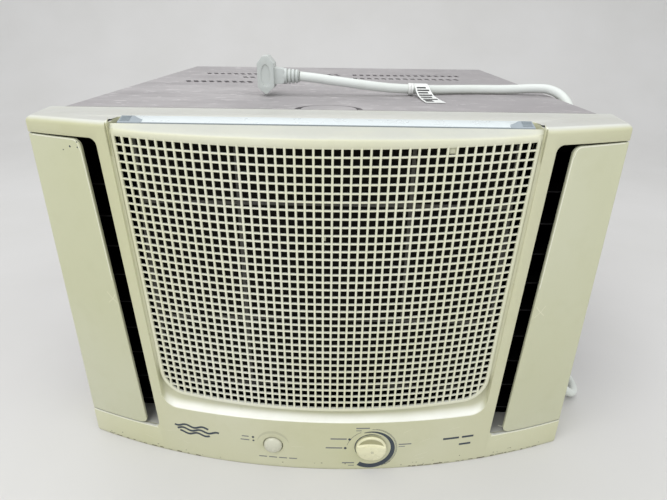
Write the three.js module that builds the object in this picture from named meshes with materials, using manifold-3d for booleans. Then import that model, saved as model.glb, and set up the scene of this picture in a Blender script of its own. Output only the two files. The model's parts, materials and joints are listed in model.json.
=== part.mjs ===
// Window air conditioner: a bowed room-side panel with an intake grille between two
// side outlets, on a steel cabinet that holds the refrigeration chassis.
// Millimetres, +Z up. The front faces -Y, and +X is on the right as seen from the room.
// The origin is the middle of the footprint, on the surface that the unit stands on.
// Sections: driving sizes, shape helpers, finishes, front panel and what moves in it,
// controls, cabinet and chassis, refrigeration, air movers, power cord.

import * as THREE from 'three';
import { mergeVertices } from 'three/addons/utils/BufferGeometryUtils.js';
import Module from 'manifold-3d';

const wasm = await Module();
wasm.setup();

// ---------------------------------------------------------------- driving sizes

const OVERALL_DEPTH = 539;
const PANEL_HEIGHT = 322;
const PANEL_HALF_WIDTH = 236.5; // at the front corners
const PANEL_FLARE = 13.5; // each side leans outwards by this much towards the wall
const PANEL_DEPTH = 57; // front corner to rear edge
const BOW_DEPTH = 44; // the middle of the front stands this far before its corners
const KNOB_PROUD = 8; // the selector knob stands this far before the bow
const PLASTIC = 3; // wall of the moulded panel
const SHEET = 1.6; // wall of the pressed steel
const GAP = 0.3; // between pieces that touch

const CABINET_HALF_WIDTH = 236;
const CABINET_TOP = 321.5;
const CABINET_BOTTOM = 2;
const CABINET_CORNER = 6;

const GRILLE_TOP_HALF = 163.5; // the recess for the intake grille narrows downwards
const GRILLE_LOW_HALF = 157.2;
const GRILLE_BOTTOM = 54;
const GRILLE_CORNER = 22;
const SLOT_TOP = 308.8; // the side outlets, between the middle section and the doors
const SLOT_BOTTOM = 28.5;
const SLOT_INNER_TOP = 173.5;
const SLOT_INNER_LOW = 160;
const DOOR_INNER_TOP = 187.7;
const DOOR_INNER_LOW = 173;

const VANE_COUNT = 9;
const VANE_PITCH = 28.1;
const VANE_LOWEST = 43.1;
const VANE_CHORD = 24;

const FAN_AXIS_HEIGHT = 150;
const CORD_DIAMETER = 9.5;

const frontY = -OVERALL_DEPTH / 2 + KNOB_PROUD;
const cornerY = frontY + BOW_DEPTH;
const panelRearY = cornerY + PANEL_DEPTH;
const cabinetRearY = OVERALL_DEPTH / 2;
const bowRadius = (PANEL_HALF_WIDTH ** 2 + BOW_DEPTH ** 2) / (2 * BOW_DEPTH);
const bowCentreY = frontY + bowRadius;

const group = new THREE.Group();

// ---------------------------------------------------------------- shape helpers

// A closed three.js geometry as a solid: shared corners merged, slivers dropped.
function solidFrom(geometry) {
  const bare = geometry.clone();
  bare.deleteAttribute('normal');
  bare.deleteAttribute('uv');
  const merged = mergeVertices(bare, 1e-4);
  const index = merged.index.array;
  const corners = [];
  for (let i = 0; i < index.length; i += 3) {
    const [a, b, c] = index.slice(i, i + 3);
    if (a !== b && b !== c && c !== a) corners.push(a, b, c);
  }
  const vertProperties = Float32Array.from(merged.attributes.position.array);
  const triVerts = Uint32Array.from(corners);
  return new wasm.Manifold(new wasm.Mesh({ numProp: 3, vertProperties, triVerts }));
}

function join(first, ...others) {
  return others.reduce((whole, piece) => whole.add(piece), first);
}

function cut(first, ...tools) {
  return tools.reduce((whole, tool) => whole.subtract(tool), first);
}

function block(x0, x1, y0, y1, z0, z1) {
  const geometry = new THREE.BoxGeometry(x1 - x0, y1 - y0, z1 - z0);
  return solidFrom(geometry.translate((x0 + x1) / 2, (y0 + y1) / 2, (z0 + z1) / 2));
}

// A box on the right for side 1, or its mirror image on the left for side -1.
function sideBlock(side, x0, x1, y0, y1, z0, z1) {
  const ends = [side * x0, side * x1].sort((a, b) => a - b);
  return block(ends[0], ends[1], y0, y1, z0, z1);
}

function shapeOf(points) {
  return new THREE.Shape(points.map(([x, y]) => new THREE.Vector2(x, y)));
}

// A polygon whose corners are rounded where a corner's third number is a radius.
function roundedShape(corners) {
  const shape = new THREE.Shape();
  corners.forEach(([x, y, radius = 0], i) => {
    const here = new THREE.Vector2(x, y);
    const before = new THREE.Vector2(...corners.at(i - 1).slice(0, 2));
    const after = new THREE.Vector2(...corners[(i + 1) % corners.length].slice(0, 2));
    const start = here.clone().add(before.sub(here).setLength(radius));
    const end = here.clone().add(after.sub(here).setLength(radius));
    if (i === 0) shape.moveTo(start.x, start.y);
    else shape.lineTo(start.x, start.y);
    if (radius > 0) shape.quadraticCurveTo(here.x, here.y, end.x, end.y);
  });
  shape.closePath();
  return shape;
}

function extrudeUp(shape, z0, z1, curveSegments = 6) {
  const options = { depth: z1 - z0, bevelEnabled: false, curveSegments };
  return solidFrom(new THREE.ExtrudeGeometry(shape, options).translate(0, 0, z0));
}

// Extrudes a shape drawn in (x, z) backwards, from y0 to y1.
function extrudeBack(shape, y0, y1, curveSegments = 4) {
  const options = { depth: y1 - y0, bevelEnabled: false, curveSegments };
  const geometry = new THREE.ExtrudeGeometry(shape, options);
  return solidFrom(geometry.rotateX(Math.PI / 2).translate(0, y1, 0));
}

// Extrudes a shape drawn in (y, z) sideways, from x0 to x1.
function extrudeAcross(shape, x0, x1, curveSegments = 4) {
  const options = { depth: x1 - x0, bevelEnabled: false, curveSegments };
  const geometry = new THREE.ExtrudeGeometry(shape, options);
  const turn = new THREE.Matrix4().makeBasis(
    new THREE.Vector3(0, 1, 0),
    new THREE.Vector3(0, 0, 1),
    new THREE.Vector3(1, 0, 0),
  );
  return solidFrom(geometry.applyMatrix4(turn).translate(x0, 0, 0));
}

const turnTo = {
  x: (geometry) => geometry.rotateZ(-Math.PI / 2),
  y: (geometry) => geometry,
  z: (geometry) => geometry.rotateX(Math.PI / 2),
};

// A round bar along an axis, with its middle line through centre, from one end to the other.
function rod(axis, [x, y, z], radius, from, to, sides = 16, endRadius = radius) {
  const geometry = new THREE.CylinderGeometry(endRadius, radius, to - from, sides);
  const middle = (from + to) / 2;
  turnTo[axis](geometry);
  return solidFrom(
    geometry.translate(
      axis === 'x' ? middle : x,
      axis === 'y' ? middle : y,
      axis === 'z' ? middle : z,
    ),
  );
}

// A turned piece about a vertical axis, from [radius, height] points.
function turned(points, [x, y], segments = 24) {
  const profile = points.map(([radius, height]) => new THREE.Vector2(radius, height));
  const geometry = new THREE.LatheGeometry(profile, segments).rotateX(Math.PI / 2);
  return solidFrom(geometry.translate(x, y, 0));
}

// A round tube or cord along a curve.
function tubeAlong(curve, radius, steps, sides = 8) {
  const section = new THREE.Shape().absarc(0, 0, radius, 0, 2 * Math.PI);
  const options = { steps, curveSegments: sides / 2, extrudePath: curve };
  return solidFrom(new THREE.ExtrudeGeometry(section, options));
}

function smoothPath(points) {
  return new THREE.CatmullRomCurve3(points.map((p) => new THREE.Vector3(...p)), false, 'centripetal');
}

function bowY(x, inset = 0) {
  return bowCentreY - Math.sqrt((bowRadius - inset) ** 2 - x ** 2);
}

// The panel's outline seen from above, drawn in from its outer faces by an inset.
function panelPlan(inset, rearY) {
  const half = PANEL_HALF_WIDTH - inset;
  const lean = (PANEL_FLARE * (rearY - cornerY)) / PANEL_DEPTH;
  const sweep = Math.asin(half / (bowRadius - inset));
  const shape = new THREE.Shape();
  shape.moveTo(-half - lean, rearY);
  shape.lineTo(-half, bowY(half, inset));
  shape.absarc(0, bowCentreY, bowRadius - inset, -Math.PI / 2 - sweep, -Math.PI / 2 + sweep);
  shape.lineTo(half + lean, rearY);
  return shape;
}

// A slab that follows the bow, between two insets from the front face.
function bowSlab(frontInset, rearInset, z0, z1) {
  const half = PANEL_HALF_WIDTH - 1;
  const sweep = Math.asin(half / bowRadius);
  const shape = new THREE.Shape();
  const outer = bowRadius - frontInset;
  const inner = bowRadius - rearInset;
  shape.absarc(0, bowCentreY, outer, -Math.PI / 2 - sweep, -Math.PI / 2 + sweep);
  shape.absarc(0, bowCentreY, inner, -Math.PI / 2 + sweep, -Math.PI / 2 - sweep, true);
  shape.closePath();
  return extrudeUp(shape, z0, z1, 8);
}

function between(low, high, z) {
  return low + ((high - low) * (z - SLOT_BOTTOM)) / (SLOT_TOP - SLOT_BOTTOM);
}

// The outline of the grille's recess in the panel, shrunk on all sides by a gap.
function grilleOutline(gap, top) {
  return roundedShape([
    [-GRILLE_TOP_HALF + gap, top],
    [-GRILLE_LOW_HALF + gap, GRILLE_BOTTOM + gap, GRILLE_CORNER],
    [GRILLE_LOW_HALF - gap, GRILLE_BOTTOM + gap, GRILLE_CORNER],
    [GRILLE_TOP_HALF - gap, top],
  ]);
}

// ---------------------------------------------------------------- finishes

const finishes = {
  cream: { color: 0xc9c8ab, roughness: 0.5, metalness: 0 },
  grille: { color: 0xdedecb, roughness: 0.5, metalness: 0 },
  filter: { color: 0xa9b4bc, roughness: 0.6, metalness: 0 },
  black: { color: 0x1a1b1c, roughness: 0.6, metalness: 0 },
  knob: { color: 0xe6dfb8, roughness: 0.35, metalness: 0 },
  steelPaint: { color: 0xb4b0b2, roughness: 0.6, metalness: 0.1 },
  foam: { color: 0xe3e3df, roughness: 0.9, metalness: 0 },
  fins: { color: 0xb9bdc0, roughness: 0.4, metalness: 0.9 },
  copper: { color: 0xb87345, roughness: 0.35, metalness: 1 },
  galvanised: { color: 0x9aa0a3, roughness: 0.45, metalness: 0.8 },
  compressor: { color: 0x16171a, roughness: 0.4, metalness: 0.3 },
  cord: { color: 0xc4c7c1, roughness: 0.55, metalness: 0 },
};

function addPart(name, solid, finish, position = [0, 0, 0]) {
  const { vertProperties, triVerts } = solid.getMesh();
  const geometry = new THREE.BufferGeometry();
  geometry.setAttribute('position', new THREE.BufferAttribute(vertProperties, 3));
  geometry.setIndex(new THREE.BufferAttribute(triVerts, 1));
  const material = new THREE.MeshStandardMaterial({ ...finishes[finish], flatShading: true });
  const mesh = new THREE.Mesh(geometry, material);
  mesh.name = name;
  mesh.position.set(...position);
  group.add(mesh);
}

// ---------------------------------------------------------------- front panel

const SIDES = { left: -1, right: 1 };
const DUCT_REAR_Y = panelRearY - 19;
const FILTER_SLOT_REAR_Y = cornerY + 20;
const GRILLE_RETURN_REAR_Y = cornerY - 18.5;
const DOOR_AXIS = { x: 232.5, y: cornerY + 4.2 };
const RACK = { x0: 224, x1: 226.4, y0: -207, y1: -184 }; // carries the vanes' outer pivots
const VANE_AXIS_Y = -203;
const LINK_OFFSET = 8; // the link's pins sit this far behind the vanes' pivots
const SELECTOR = { x: 45.4, z: 28 };
const BUTTON = { x: -46.7, z: 27.6 };

function vaneHeight(i) {
  return VANE_LOWEST + i * VANE_PITCH;
}

// One side's duct: an inner wall, a floor, a ceiling and the rack for the vanes.
function ductWalls(side) {
  const wall = 2.5;
  const innerWall = shapeOf([
    [side * SLOT_INNER_LOW, SLOT_BOTTOM],
    [side * SLOT_INNER_TOP, SLOT_TOP],
    [side * (SLOT_INNER_TOP - wall), SLOT_TOP],
    [side * (SLOT_INNER_LOW - wall), SLOT_BOTTOM],
  ]);
  const reach = RACK.x1;
  const floor = [SLOT_BOTTOM - wall, SLOT_BOTTOM];
  const ceiling = [SLOT_TOP, SLOT_TOP + wall];
  const shelfRearY = panelRearY - 25;
  let walls = join(
    extrudeBack(innerWall, frontY, DUCT_REAR_Y),
    sideBlock(side, SLOT_INNER_LOW - wall, reach, frontY, DUCT_REAR_Y, ...floor),
    sideBlock(side, SLOT_INNER_TOP - wall, reach, frontY, DUCT_REAR_Y, ...ceiling),
    sideBlock(side, reach - wall, PANEL_HALF_WIDTH, frontY, shelfRearY, ...floor),
    sideBlock(side, reach - wall, PANEL_HALF_WIDTH, frontY, shelfRearY, ...ceiling),
    sideBlock(side, RACK.x0, RACK.x1, RACK.y0, RACK.y1, SLOT_BOTTOM - 1, SLOT_TOP + 1),
  );
  const pivotHole = 2.1;
  for (let i = 0; i < VANE_COUNT; i++) {
    const ends = [side * (SLOT_INNER_LOW - 4), side * (RACK.x1 + 2)].sort((a, b) => a - b);
    walls = cut(walls, rod('x', [0, VANE_AXIS_Y, vaneHeight(i)], pivotHole, ends[0], ends[1], 6));
  }
  return walls;
}

function frontPanel() {
  const outside = extrudeUp(panelPlan(0, panelRearY), 0, PANEL_HEIGHT, 10);
  const inside = extrudeUp(panelPlan(PLASTIC, panelRearY + 1), PLASTIC, PANEL_HEIGHT - PLASTIC, 10);
  let panel = cut(outside, inside);
  for (const side of Object.values(SIDES)) {
    panel = panel.add(ductWalls(side).intersect(outside));
    const outlet = shapeOf([
      [side * SLOT_INNER_LOW, SLOT_BOTTOM],
      [side * (PANEL_HALF_WIDTH + 8), SLOT_BOTTOM],
      [side * (PANEL_HALF_WIDTH + 8), SLOT_TOP],
      [side * SLOT_INNER_TOP, SLOT_TOP],
    ]);
    panel = cut(panel, extrudeBack(outlet, frontY - 5, cornerY + 9));
    const pinHole = 2.6;
    const axis = [side * DOOR_AXIS.x, DOOR_AXIS.y, 0];
    panel = cut(panel, rod('z', axis, pinHole, SLOT_BOTTOM - 2.6, SLOT_TOP + 2.6, 12));
  }
  const recess = extrudeBack(grilleOutline(0, PANEL_HEIGHT + 5), frontY - 5, FILTER_SLOT_REAR_Y);
  const knobHole = rod('y', [SELECTOR.x, 0, SELECTOR.z], 4.6, frontY - 5, frontY + 20);
  const buttonHole = rod('y', [BUTTON.x, 0, BUTTON.z], 8.7, frontY - 5, frontY + 20);
  addPart('front_panel', cut(panel, recess, knobHole, buttonHole), 'cream');
}

// A bowed lattice with a top that turns back to the filter slot.
function intakeGrille() {
  const gap = 0.6;
  const faceInset = 1;
  const faceThickness = 4;
  const top = PANEL_HEIGHT - 0.4;
  const outline = extrudeBack(grilleOutline(gap, top), frontY - 2, GRILLE_RETURN_REAR_Y);
  const face = bowSlab(faceInset, faceInset + faceThickness, GRILLE_BOTTOM, top);
  const topReturn = extrudeUp(panelPlan(faceInset, panelRearY), top - PLASTIC, top, 8);
  let grille = join(face, topReturn).intersect(outline);
  const pitch = 40.8;
  const bar = 3.6;
  const columns = 7;
  const rows = 5;
  const lowest = 110;
  for (let column = 0; column < columns; column++) {
    for (let row = 0; row < rows; row++) {
      const x = (column - (columns - 1) / 2) * pitch;
      const z = lowest + row * pitch;
      const half = (pitch - bar) / 2;
      const hole = block(x - half, x + half, frontY - 2, frontY + 30, z - half, z + half);
      grille = cut(grille, hole);
    }
  }
  addPart('intake_grille', grille, 'grille');
}

// The washable filter: a ribbed frame with a thin mesh in its windows, hung from a flange in
// the top of the panel.
function airFilter() {
  const halfWidth = 150;
  const flangeHalf = 155;
  const z0 = 58;
  const flangeTop = PANEL_HEIGHT - 4;
  const plane = { y0: -231, y1: -227.5 };
  let frame = block(-halfWidth, halfWidth, plane.y0, plane.y1, z0, flangeTop - 1);
  const columns = 4;
  const rows = 4;
  const rib = 5;
  const pitchX = (2 * halfWidth - rib) / columns;
  const pitchZ = (flangeTop - 12 - z0) / rows;
  for (let column = 0; column < columns; column++) {
    for (let row = 0; row < rows; row++) {
      const x = -halfWidth + rib + column * pitchX;
      const z = z0 + rib + row * pitchZ;
      const window = { x1: x + pitchX - rib, z1: z + pitchZ - rib };
      const mesh = 0.8;
      frame = cut(frame, block(x, window.x1, plane.y0 - 1, plane.y1 - mesh, z, window.z1));
    }
  }
  const flangeRear = FILTER_SLOT_REAR_Y - 0.6;
  const flangeFront = GRILLE_RETURN_REAR_Y + 0.6;
  const flange = block(-flangeHalf, flangeHalf, flangeFront, flangeRear, flangeTop - 3, flangeTop);
  const gripProfile = shapeOf([[0, 0], [22, 0], [14, 3.4], [0, 3.4]]);
  const gripWall = 30;
  const grip = extrudeBack(gripProfile, flangeRear - gripWall, flangeRear);
  const leftGrip = grip.translate([-flangeHalf, 0, flangeTop - 0.4]);
  const rightGrip = grip.mirror([1, 0, 0]).translate([flangeHalf, 0, flangeTop - 0.4]);
  addPart('air_filter', join(frame, flange, leftGrip, rightGrip), 'filter');
}

// A swinging door beside an outlet, on two stub pins near its outer edge.
function airDoor(name, side) {
  const clearance = 1.1;
  const low = SLOT_BOTTOM + clearance;
  const high = SLOT_TOP - clearance;
  const outer = PANEL_HALF_WIDTH;
  const corner = 7;
  const outline = roundedShape([
    [side * DOOR_INNER_LOW, low, corner],
    [side * outer, low],
    [side * outer, high],
    [side * DOOR_INNER_TOP, high, corner],
  ]);
  const leaf = bowSlab(0, PLASTIC, low, high).intersect(extrudeBack(outline, frontY, cornerY + 5));
  const lip = sideBlock(side, outer - 3, outer, cornerY, cornerY + 6.5, low, high);
  const barrel = rod('z', [side * DOOR_AXIS.x, DOOR_AXIS.y, 0], 3.4, low, high, 12);
  const pins = rod('z', [side * DOOR_AXIS.x, DOOR_AXIS.y, 0], 2, low - 2.8, high + 2.8, 12);
  addPart(name, join(leaf, lip, barrel, pins), 'cream');
}

// One tilting vane, drawn about its own pivot, with a pivot pin at each end and a link pin.
function airVane(name, side, z) {
  const inner = between(SLOT_INNER_LOW, SLOT_INNER_TOP, z) + 1.2;
  const outer = 218;
  const half = VANE_CHORD / 2;
  const camber = 2;
  const thickness = 1.8;
  const profile = new THREE.Shape();
  profile.moveTo(-half, 0);
  profile.quadraticCurveTo(0, 2 * camber, half, 0);
  profile.lineTo(half, -thickness);
  profile.quadraticCurveTo(0, 2 * camber - thickness, -half, -thickness);
  profile.closePath();
  const across = (from, to) => [side * from, side * to].sort((a, b) => a - b);
  const blade = extrudeAcross(profile, ...across(inner, outer), 2);
  const pinHeight = camber - thickness / 2;
  const innerPivot = rod('x', [0, 0, 0], 1.5, ...across(inner - 2.6, inner + 2), 6);
  const outerPivot = rod('x', [0, 0, 0], 1.5, ...across(outer - 2, RACK.x1 - 0.6), 6);
  const linkPin = rod('x', [0, LINK_OFFSET, 0], 1.2, ...across(outer - 2, 222), 6);
  const vane = join(blade.translate([0, 0, -pinHeight]), innerPivot, outerPivot, linkPin);
  addPart(name, vane, 'black', [0, VANE_AXIS_Y, z]);
}

// The bar that ties one side's vanes together, with a hole around each link pin.
function vaneLink(name, side) {
  const y = VANE_AXIS_Y + LINK_OFFSET;
  const bar = { x0: 219.2, x1: 221.2, half: 4.6, z0: 36, z1: vaneHeight(VANE_COUNT - 1) + 7 };
  let link = sideBlock(side, bar.x0, bar.x1, y - bar.half, y + bar.half, bar.z0, bar.z1);
  const hole = { halfY: 2.6, halfZ: 1.9 };
  for (let i = 0; i < VANE_COUNT; i++) {
    const z = vaneHeight(i);
    const across = [y - hole.halfY, y + hole.halfY];
    link = cut(link, sideBlock(side, bar.x0 - 1, bar.x1 + 1, ...across, z - hole.halfZ, z + hole.halfZ));
  }
  addPart(name, link, 'black');
}

frontPanel();
intakeGrille();
airFilter();
for (const [word, side] of Object.entries(SIDES)) {
  airDoor(`${word}_air_door`, side);
  for (let i = 0; i < VANE_COUNT; i++) airVane(`${word}_vane_${i + 1}`, side, vaneHeight(i));
  vaneLink(`${word}_vane_link`, side);
}

// ---------------------------------------------------------------- controls

const CONTROL_PLATE = { y0: -250, y1: -248.4 };

function selectorKnob() {
  const { x, z } = SELECTOR;
  const back = bowY(x - 15) - 0.4;
  const front = frontY - KNOB_PROUD;
  const skirtFront = back - 3;
  const skirt = rod('y', [x, 0, z], 13.6, skirtFront, back, 32, 14.6);
  const cap = rod('y', [x, 0, z], 12.4, skirtFront - 1.4, skirtFront + 0.5, 32, 13.6);
  const grip = roundedShape([
    [x - 12, z - 3.6, 2],
    [x + 12, z - 3.6, 2],
    [x + 12, z + 3.6, 2],
    [x - 12, z + 3.6, 2],
  ]);
  const gripBar = extrudeBack(grip, front, skirtFront, 3);
  const shaft = rod('y', [x, 0, z], 3, back - 0.5, CONTROL_PLATE.y1 - 0.6);
  addPart('selector_knob', join(skirt, cap, gripBar, shaft), 'knob');
}

function speedButton() {
  const { x, z } = BUTTON;
  const front = bowY(x) - 3.6;
  const dome = rod('y', [x, 0, z], 5.2, front, front + 1.8, 24, 8);
  const barrel = rod('y', [x, 0, z], 8, front + 1.7, front + 9, 24);
  const stem = rod('y', [x, 0, z], 2.6, front + 8, CONTROL_PLATE.y0 + 0.6);
  addPart('speed_button', join(dome, barrel, stem), 'knob');
}

function controlPlate() {
  const { y0, y1 } = CONTROL_PLATE;
  const plate = block(-76, 76, y0, y1, 6, 47);
  const knobHole = rod('y', [SELECTOR.x, 0, SELECTOR.z], 3.8, y0 - 1, y1 + 1);
  const buttonHole = rod('y', [BUTTON.x, 0, BUTTON.z], 3.4, y0 - 1, y1 + 1);
  addPart('control_plate', cut(plate, knobHole, buttonHole), 'galvanised');
  const rear = -229;
  const thermostat = block(28, 62.5, y1 + GAP, rear, 10, 45);
  addPart('thermostat_body', thermostat, 'black');
  const rocker = block(-60, -33.5, y1 + GAP, rear, 14, 41);
  const stemWell = rod('y', [BUTTON.x, 0, BUTTON.z], 3.4, y1 - 1, y1 + 6);
  addPart('switch_body', cut(rocker, stemWell), 'black');
}

selectorKnob();
speedButton();
controlPlate();

// ---------------------------------------------------------------- cabinet and chassis

// Slanted slots in rows through the top of the cabinet, near its rear.
function topVents(shell) {
  const slot = { width: 5.6, length: 19, slant: 0.35, pitch: 19.4 };
  const rows = [
    { y: 152, from: -183, to: 4 },
    { y: 152, from: 27, to: 174 },
    { y: 105, from: -122, to: 4 },
    { y: 105, from: 27, to: 170 },
    { y: 50, from: -184, to: -98 },
  ];
  const stencil = new THREE.BoxGeometry(slot.width, slot.length, 12).rotateZ(slot.slant);
  let vented = shell;
  for (const row of rows) {
    const count = Math.floor((row.to - row.from) / slot.pitch) + 1;
    for (let i = 0; i < count; i++) {
      const hole = stencil.clone().translate(row.from + i * slot.pitch, row.y, CABINET_TOP);
      vented = cut(vented, solidFrom(hole));
    }
  }
  return vented;
}

function sideVents(shell) {
  const slot = { length: 52, height: 6, pitch: 20, rows: 7, lowest: 140 };
  let vented = shell;
  for (const side of Object.values(SIDES)) {
    for (const y of [20, 84]) {
      for (let row = 0; row < slot.rows; row++) {
        const z = slot.lowest + row * slot.pitch;
        const [inner, outer] = [CABINET_HALF_WIDTH - 6, CABINET_HALF_WIDTH + 6];
        vented = cut(vented, sideBlock(side, inner, outer, y, y + slot.length, z, z + slot.height));
      }
    }
  }
  return vented;
}

function arch(inset, bottom) {
  const half = CABINET_HALF_WIDTH - inset;
  const top = CABINET_TOP - inset;
  const corner = Math.max(CABINET_CORNER - inset, 0.5);
  return roundedShape([
    [-half, bottom],
    [half, bottom],
    [half, top, corner],
    [-half, top, corner],
  ]);
}

// The steel wrap: two sides and a top, a joggled collar in front, a flange at the rear.
function cabinet() {
  const start = panelRearY + 0.4;
  const collarInset = 4;
  const collarReach = 18;
  const flange = 13;
  const skin = cut(
    extrudeBack(arch(0, CABINET_BOTTOM), start, cabinetRearY),
    extrudeBack(arch(SHEET, CABINET_BOTTOM - 5), start - 1, cabinetRearY + 1),
  );
  const step = cut(
    extrudeBack(arch(0.4, CABINET_BOTTOM + 4), start, start + SHEET),
    extrudeBack(arch(collarInset + SHEET, CABINET_BOTTOM - 5), start - 1, start + SHEET + 1),
  );
  const collar = cut(
    extrudeBack(arch(collarInset, CABINET_BOTTOM + 4), start - collarReach, start + SHEET / 2),
    extrudeBack(arch(collarInset + SHEET, CABINET_BOTTOM - 5), start - collarReach - 1, start + SHEET),
  );
  const rearFlange = cut(
    extrudeBack(arch(0.4, CABINET_BOTTOM + 4), cabinetRearY - SHEET, cabinetRearY),
    extrudeBack(arch(flange, CABINET_BOTTOM - 5), cabinetRearY - SHEET - 1, cabinetRearY + 1),
  );
  addPart('cabinet_shell', sideVents(topVents(join(skin, step, collar, rearFlange))), 'steelPaint');
}

function basePan() {
  const half = CABINET_HALF_WIDTH - SHEET - 0.5;
  const front = panelRearY + 2.6;
  const rear = cabinetRearY - 4;
  const floor = 3;
  const tray = cut(
    block(-half, half, front, rear, floor, 18),
    block(-half + SHEET, half - SHEET, front + SHEET, rear - SHEET, floor + SHEET, 40),
    block(-half + 20, half - 20, front - 1, front + 5, 12, 40),
  );
  const runner = (side) => sideBlock(side, 188, 206, front + 10, rear - 6, 0, floor + 0.5);
  addPart('base_pan', join(tray, runner(-1), runner(1)), 'galvanised');
}

function bulkhead() {
  const half = CABINET_HALF_WIDTH - 8;
  const plate = block(-half, half, -86, -84.4, 6, 312);
  const shaftHole = rod('y', [0, 0, FAN_AXIS_HEIGHT], 20, -90, -80);
  const pipeNotch = block(-172, -136, -90, -80, 0, 34);
  addPart('bulkhead', cut(plate, shaftHole, pipeNotch), 'galvanised');
}

cabinet();
basePan();
bulkhead();

// ---------------------------------------------------------------- refrigeration

// A finned block: vertical plates on a core, grooved between the plates on both faces.
function finBlock(name, half, y0, y1, z0, z1, pitch) {
  const grooveDepth = (y1 - y0) * 0.3;
  let fins = block(-half, half, y0, y1, z0, z1);
  for (let x = -half + pitch; x < half - pitch / 2; x += pitch) {
    const width = pitch * 0.45;
    fins = cut(
      fins,
      block(x - width, x + width, y0 - 1, y0 + grooveDepth, z0 - 1, z1 + 1),
      block(x - width, x + width, y1 - grooveDepth, y1 + 1, z0 - 1, z1 + 1),
    );
  }
  addPart(name, fins, 'fins');
}

// An end plate of a coil with the return bends that stand out from it.
function returnBends(name, side, half, y0, y1, z0, z1, columns) {
  const plateFrom = half + GAP;
  const plateTo = plateFrom + 1.6;
  const radius = 3.6;
  const rise = 34;
  let bends = sideBlock(side, plateFrom, plateTo, y0, y1, z0, z1);
  const pairs = Math.floor((z1 - z0 - 20) / (2 * rise));
  for (const y of columns) {
    for (let i = 0; i < pairs; i++) {
      const z = z0 + 18 + i * 2 * rise;
      const start = new THREE.Vector3(side * (plateTo - 1), y, z);
      const end = new THREE.Vector3(side * (plateTo - 1), y, z + rise);
      const pull = new THREE.Vector3(side * 16, 0, 0);
      const curve = new THREE.CubicBezierCurve3(start, start.clone().add(pull), end.clone().add(pull), end);
      bends = bends.add(tubeAlong(curve, radius, 4, 6));
    }
  }
  addPart(name, bends, 'copper');
}

const EVAPORATOR = { half: 130, y0: -222, y1: -182, z0: 50, z1: 300 };
const CONDENSER = { half: 192, y0: 184, y1: 232, z0: 12, z1: 300 };

function coils() {
  const e = EVAPORATOR;
  finBlock('evaporator_fins', e.half, e.y0, e.y1, e.z0, e.z1, 13);
  const c = CONDENSER;
  finBlock('condenser_fins', c.half, c.y0, c.y1, c.z0, c.z1, 16);
  for (const [word, side] of Object.entries(SIDES)) {
    returnBends(`evaporator_bends_${word}`, side, e.half, e.y0, e.y1, e.z0, e.z1, [-213, -198]);
    returnBends(`condenser_bends_${word}`, side, c.half, c.y0, c.y1, c.z0, c.z1, [199, 221]);
  }
}

function condensateTray() {
  const tray = cut(block(-140, 140, -224.5, -179, 37, 49.7), block(-138, 138, -222.5, -181, 39, 60));
  addPart('condensate_tray', tray, 'foam');
}

const COMPRESSOR = { x: -150, y: 30, radius: 58, z0: 24, z1: 214 };

function compressor() {
  const { x, y, radius, z0, z1 } = COMPRESSOR;
  const shell = turned(
    [
      [0, z0],
      [radius - 10, z0],
      [radius, z0 + 12],
      [radius, z1 - 34],
      [radius - 8, z1 - 14],
      [radius - 26, z1 - 3],
      [0, z1],
    ],
    [x, y],
  );
  const feet = [90, 210, 330].map((degrees) => {
    const angle = THREE.MathUtils.degToRad(degrees);
    return [x + 68 * Math.cos(angle), y + 68 * Math.sin(angle)];
  });
  const spider = feet.map(([fx, fy]) => {
    const pad = rod('z', [fx, fy, 0], 14, z0 - 4, z0 + 1, 12);
    const neck = rod('z', [(fx + x) / 2, (fy + y) / 2, 0], 26, z0 - 4, z0 + 1, 12);
    return pad.add(neck);
  });
  addPart('compressor', join(shell, ...spider), 'compressor');
  feet.forEach(([fx, fy], i) => {
    const grommet = rod('z', [fx, fy, 0], 10, 3 + SHEET + GAP, z0 - 4 - GAP, 16);
    addPart(`compressor_mount_${i + 1}`, grommet, 'black');
  });
  const cover = block(x + radius + GAP, x + radius + 12, y - 14, y + 14, 130, 176);
  addPart('compressor_cover', cover, 'black');
}

function refrigerantPipes() {
  const suction = smoothPath([
    [-178, 15, 216.5], [-178, 15, 234], [-188, 0, 246], [-202, -20, 238], [-211, -38, 205],
    [-213, -52, 150], [-213, -58, 90], [-208, -62, 48], [-190, -68, 25], [-164, -78, 20],
    [-150, -98, 20], [-150, -130, 20], [-150, -162, 20.5], [-150, -180, 28], [-150, -185, 48],
    [-150, -185, 150], [-150, -185, 262], [-147, -185, 282], [-140, -185, 289], [-132.4, -185, 290],
  ]);
  addPart('suction_pipe', tubeAlong(suction, 4, 44, 6), 'copper');
  const discharge = smoothPath([
    [-140, 50, 216.5], [-140, 50, 232], [-150, 78, 245], [-186, 125, 250], [-206, 150, 248],
    [-211, 170, 246], [-208, 183, 245], [-202, 187.5, 245], [-194.4, 188, 245],
  ]);
  addPart('discharge_pipe', tubeAlong(discharge, 3.2, 18, 6), 'copper');
}

coils();
condensateTray();
compressor();
refrigerantPipes();

// ---------------------------------------------------------------- air movers

const MOTOR = { y0: -76, y1: 12, radius: 44 };

function blowerHousing() {
  const box = { x: 220, y0: -176, y1: -92, z0: 34, z1: 306 };
  const wall = 3;
  const housing = cut(
    block(-box.x, box.x, box.y0, box.y1, box.z0, box.z1),
    block(-box.x + wall, box.x - wall, box.y0 + wall, box.y1 - wall, box.z0 + wall, box.z1 - wall),
    rod('y', [0, 0, FAN_AXIS_HEIGHT], 74, box.y0 - 1, box.y0 + wall + 1, 32),
    rod('y', [0, 0, FAN_AXIS_HEIGHT], 20, box.y1 - wall - 1, box.y1 + 1, 16),
    block(176, 214, box.y0 - 1, box.y0 + wall + 1, 46, 290),
    block(-214, -176, box.y0 - 1, box.y0 + wall + 1, 46, 290),
  );
  addPart('blower_housing', housing, 'foam');
}

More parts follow.
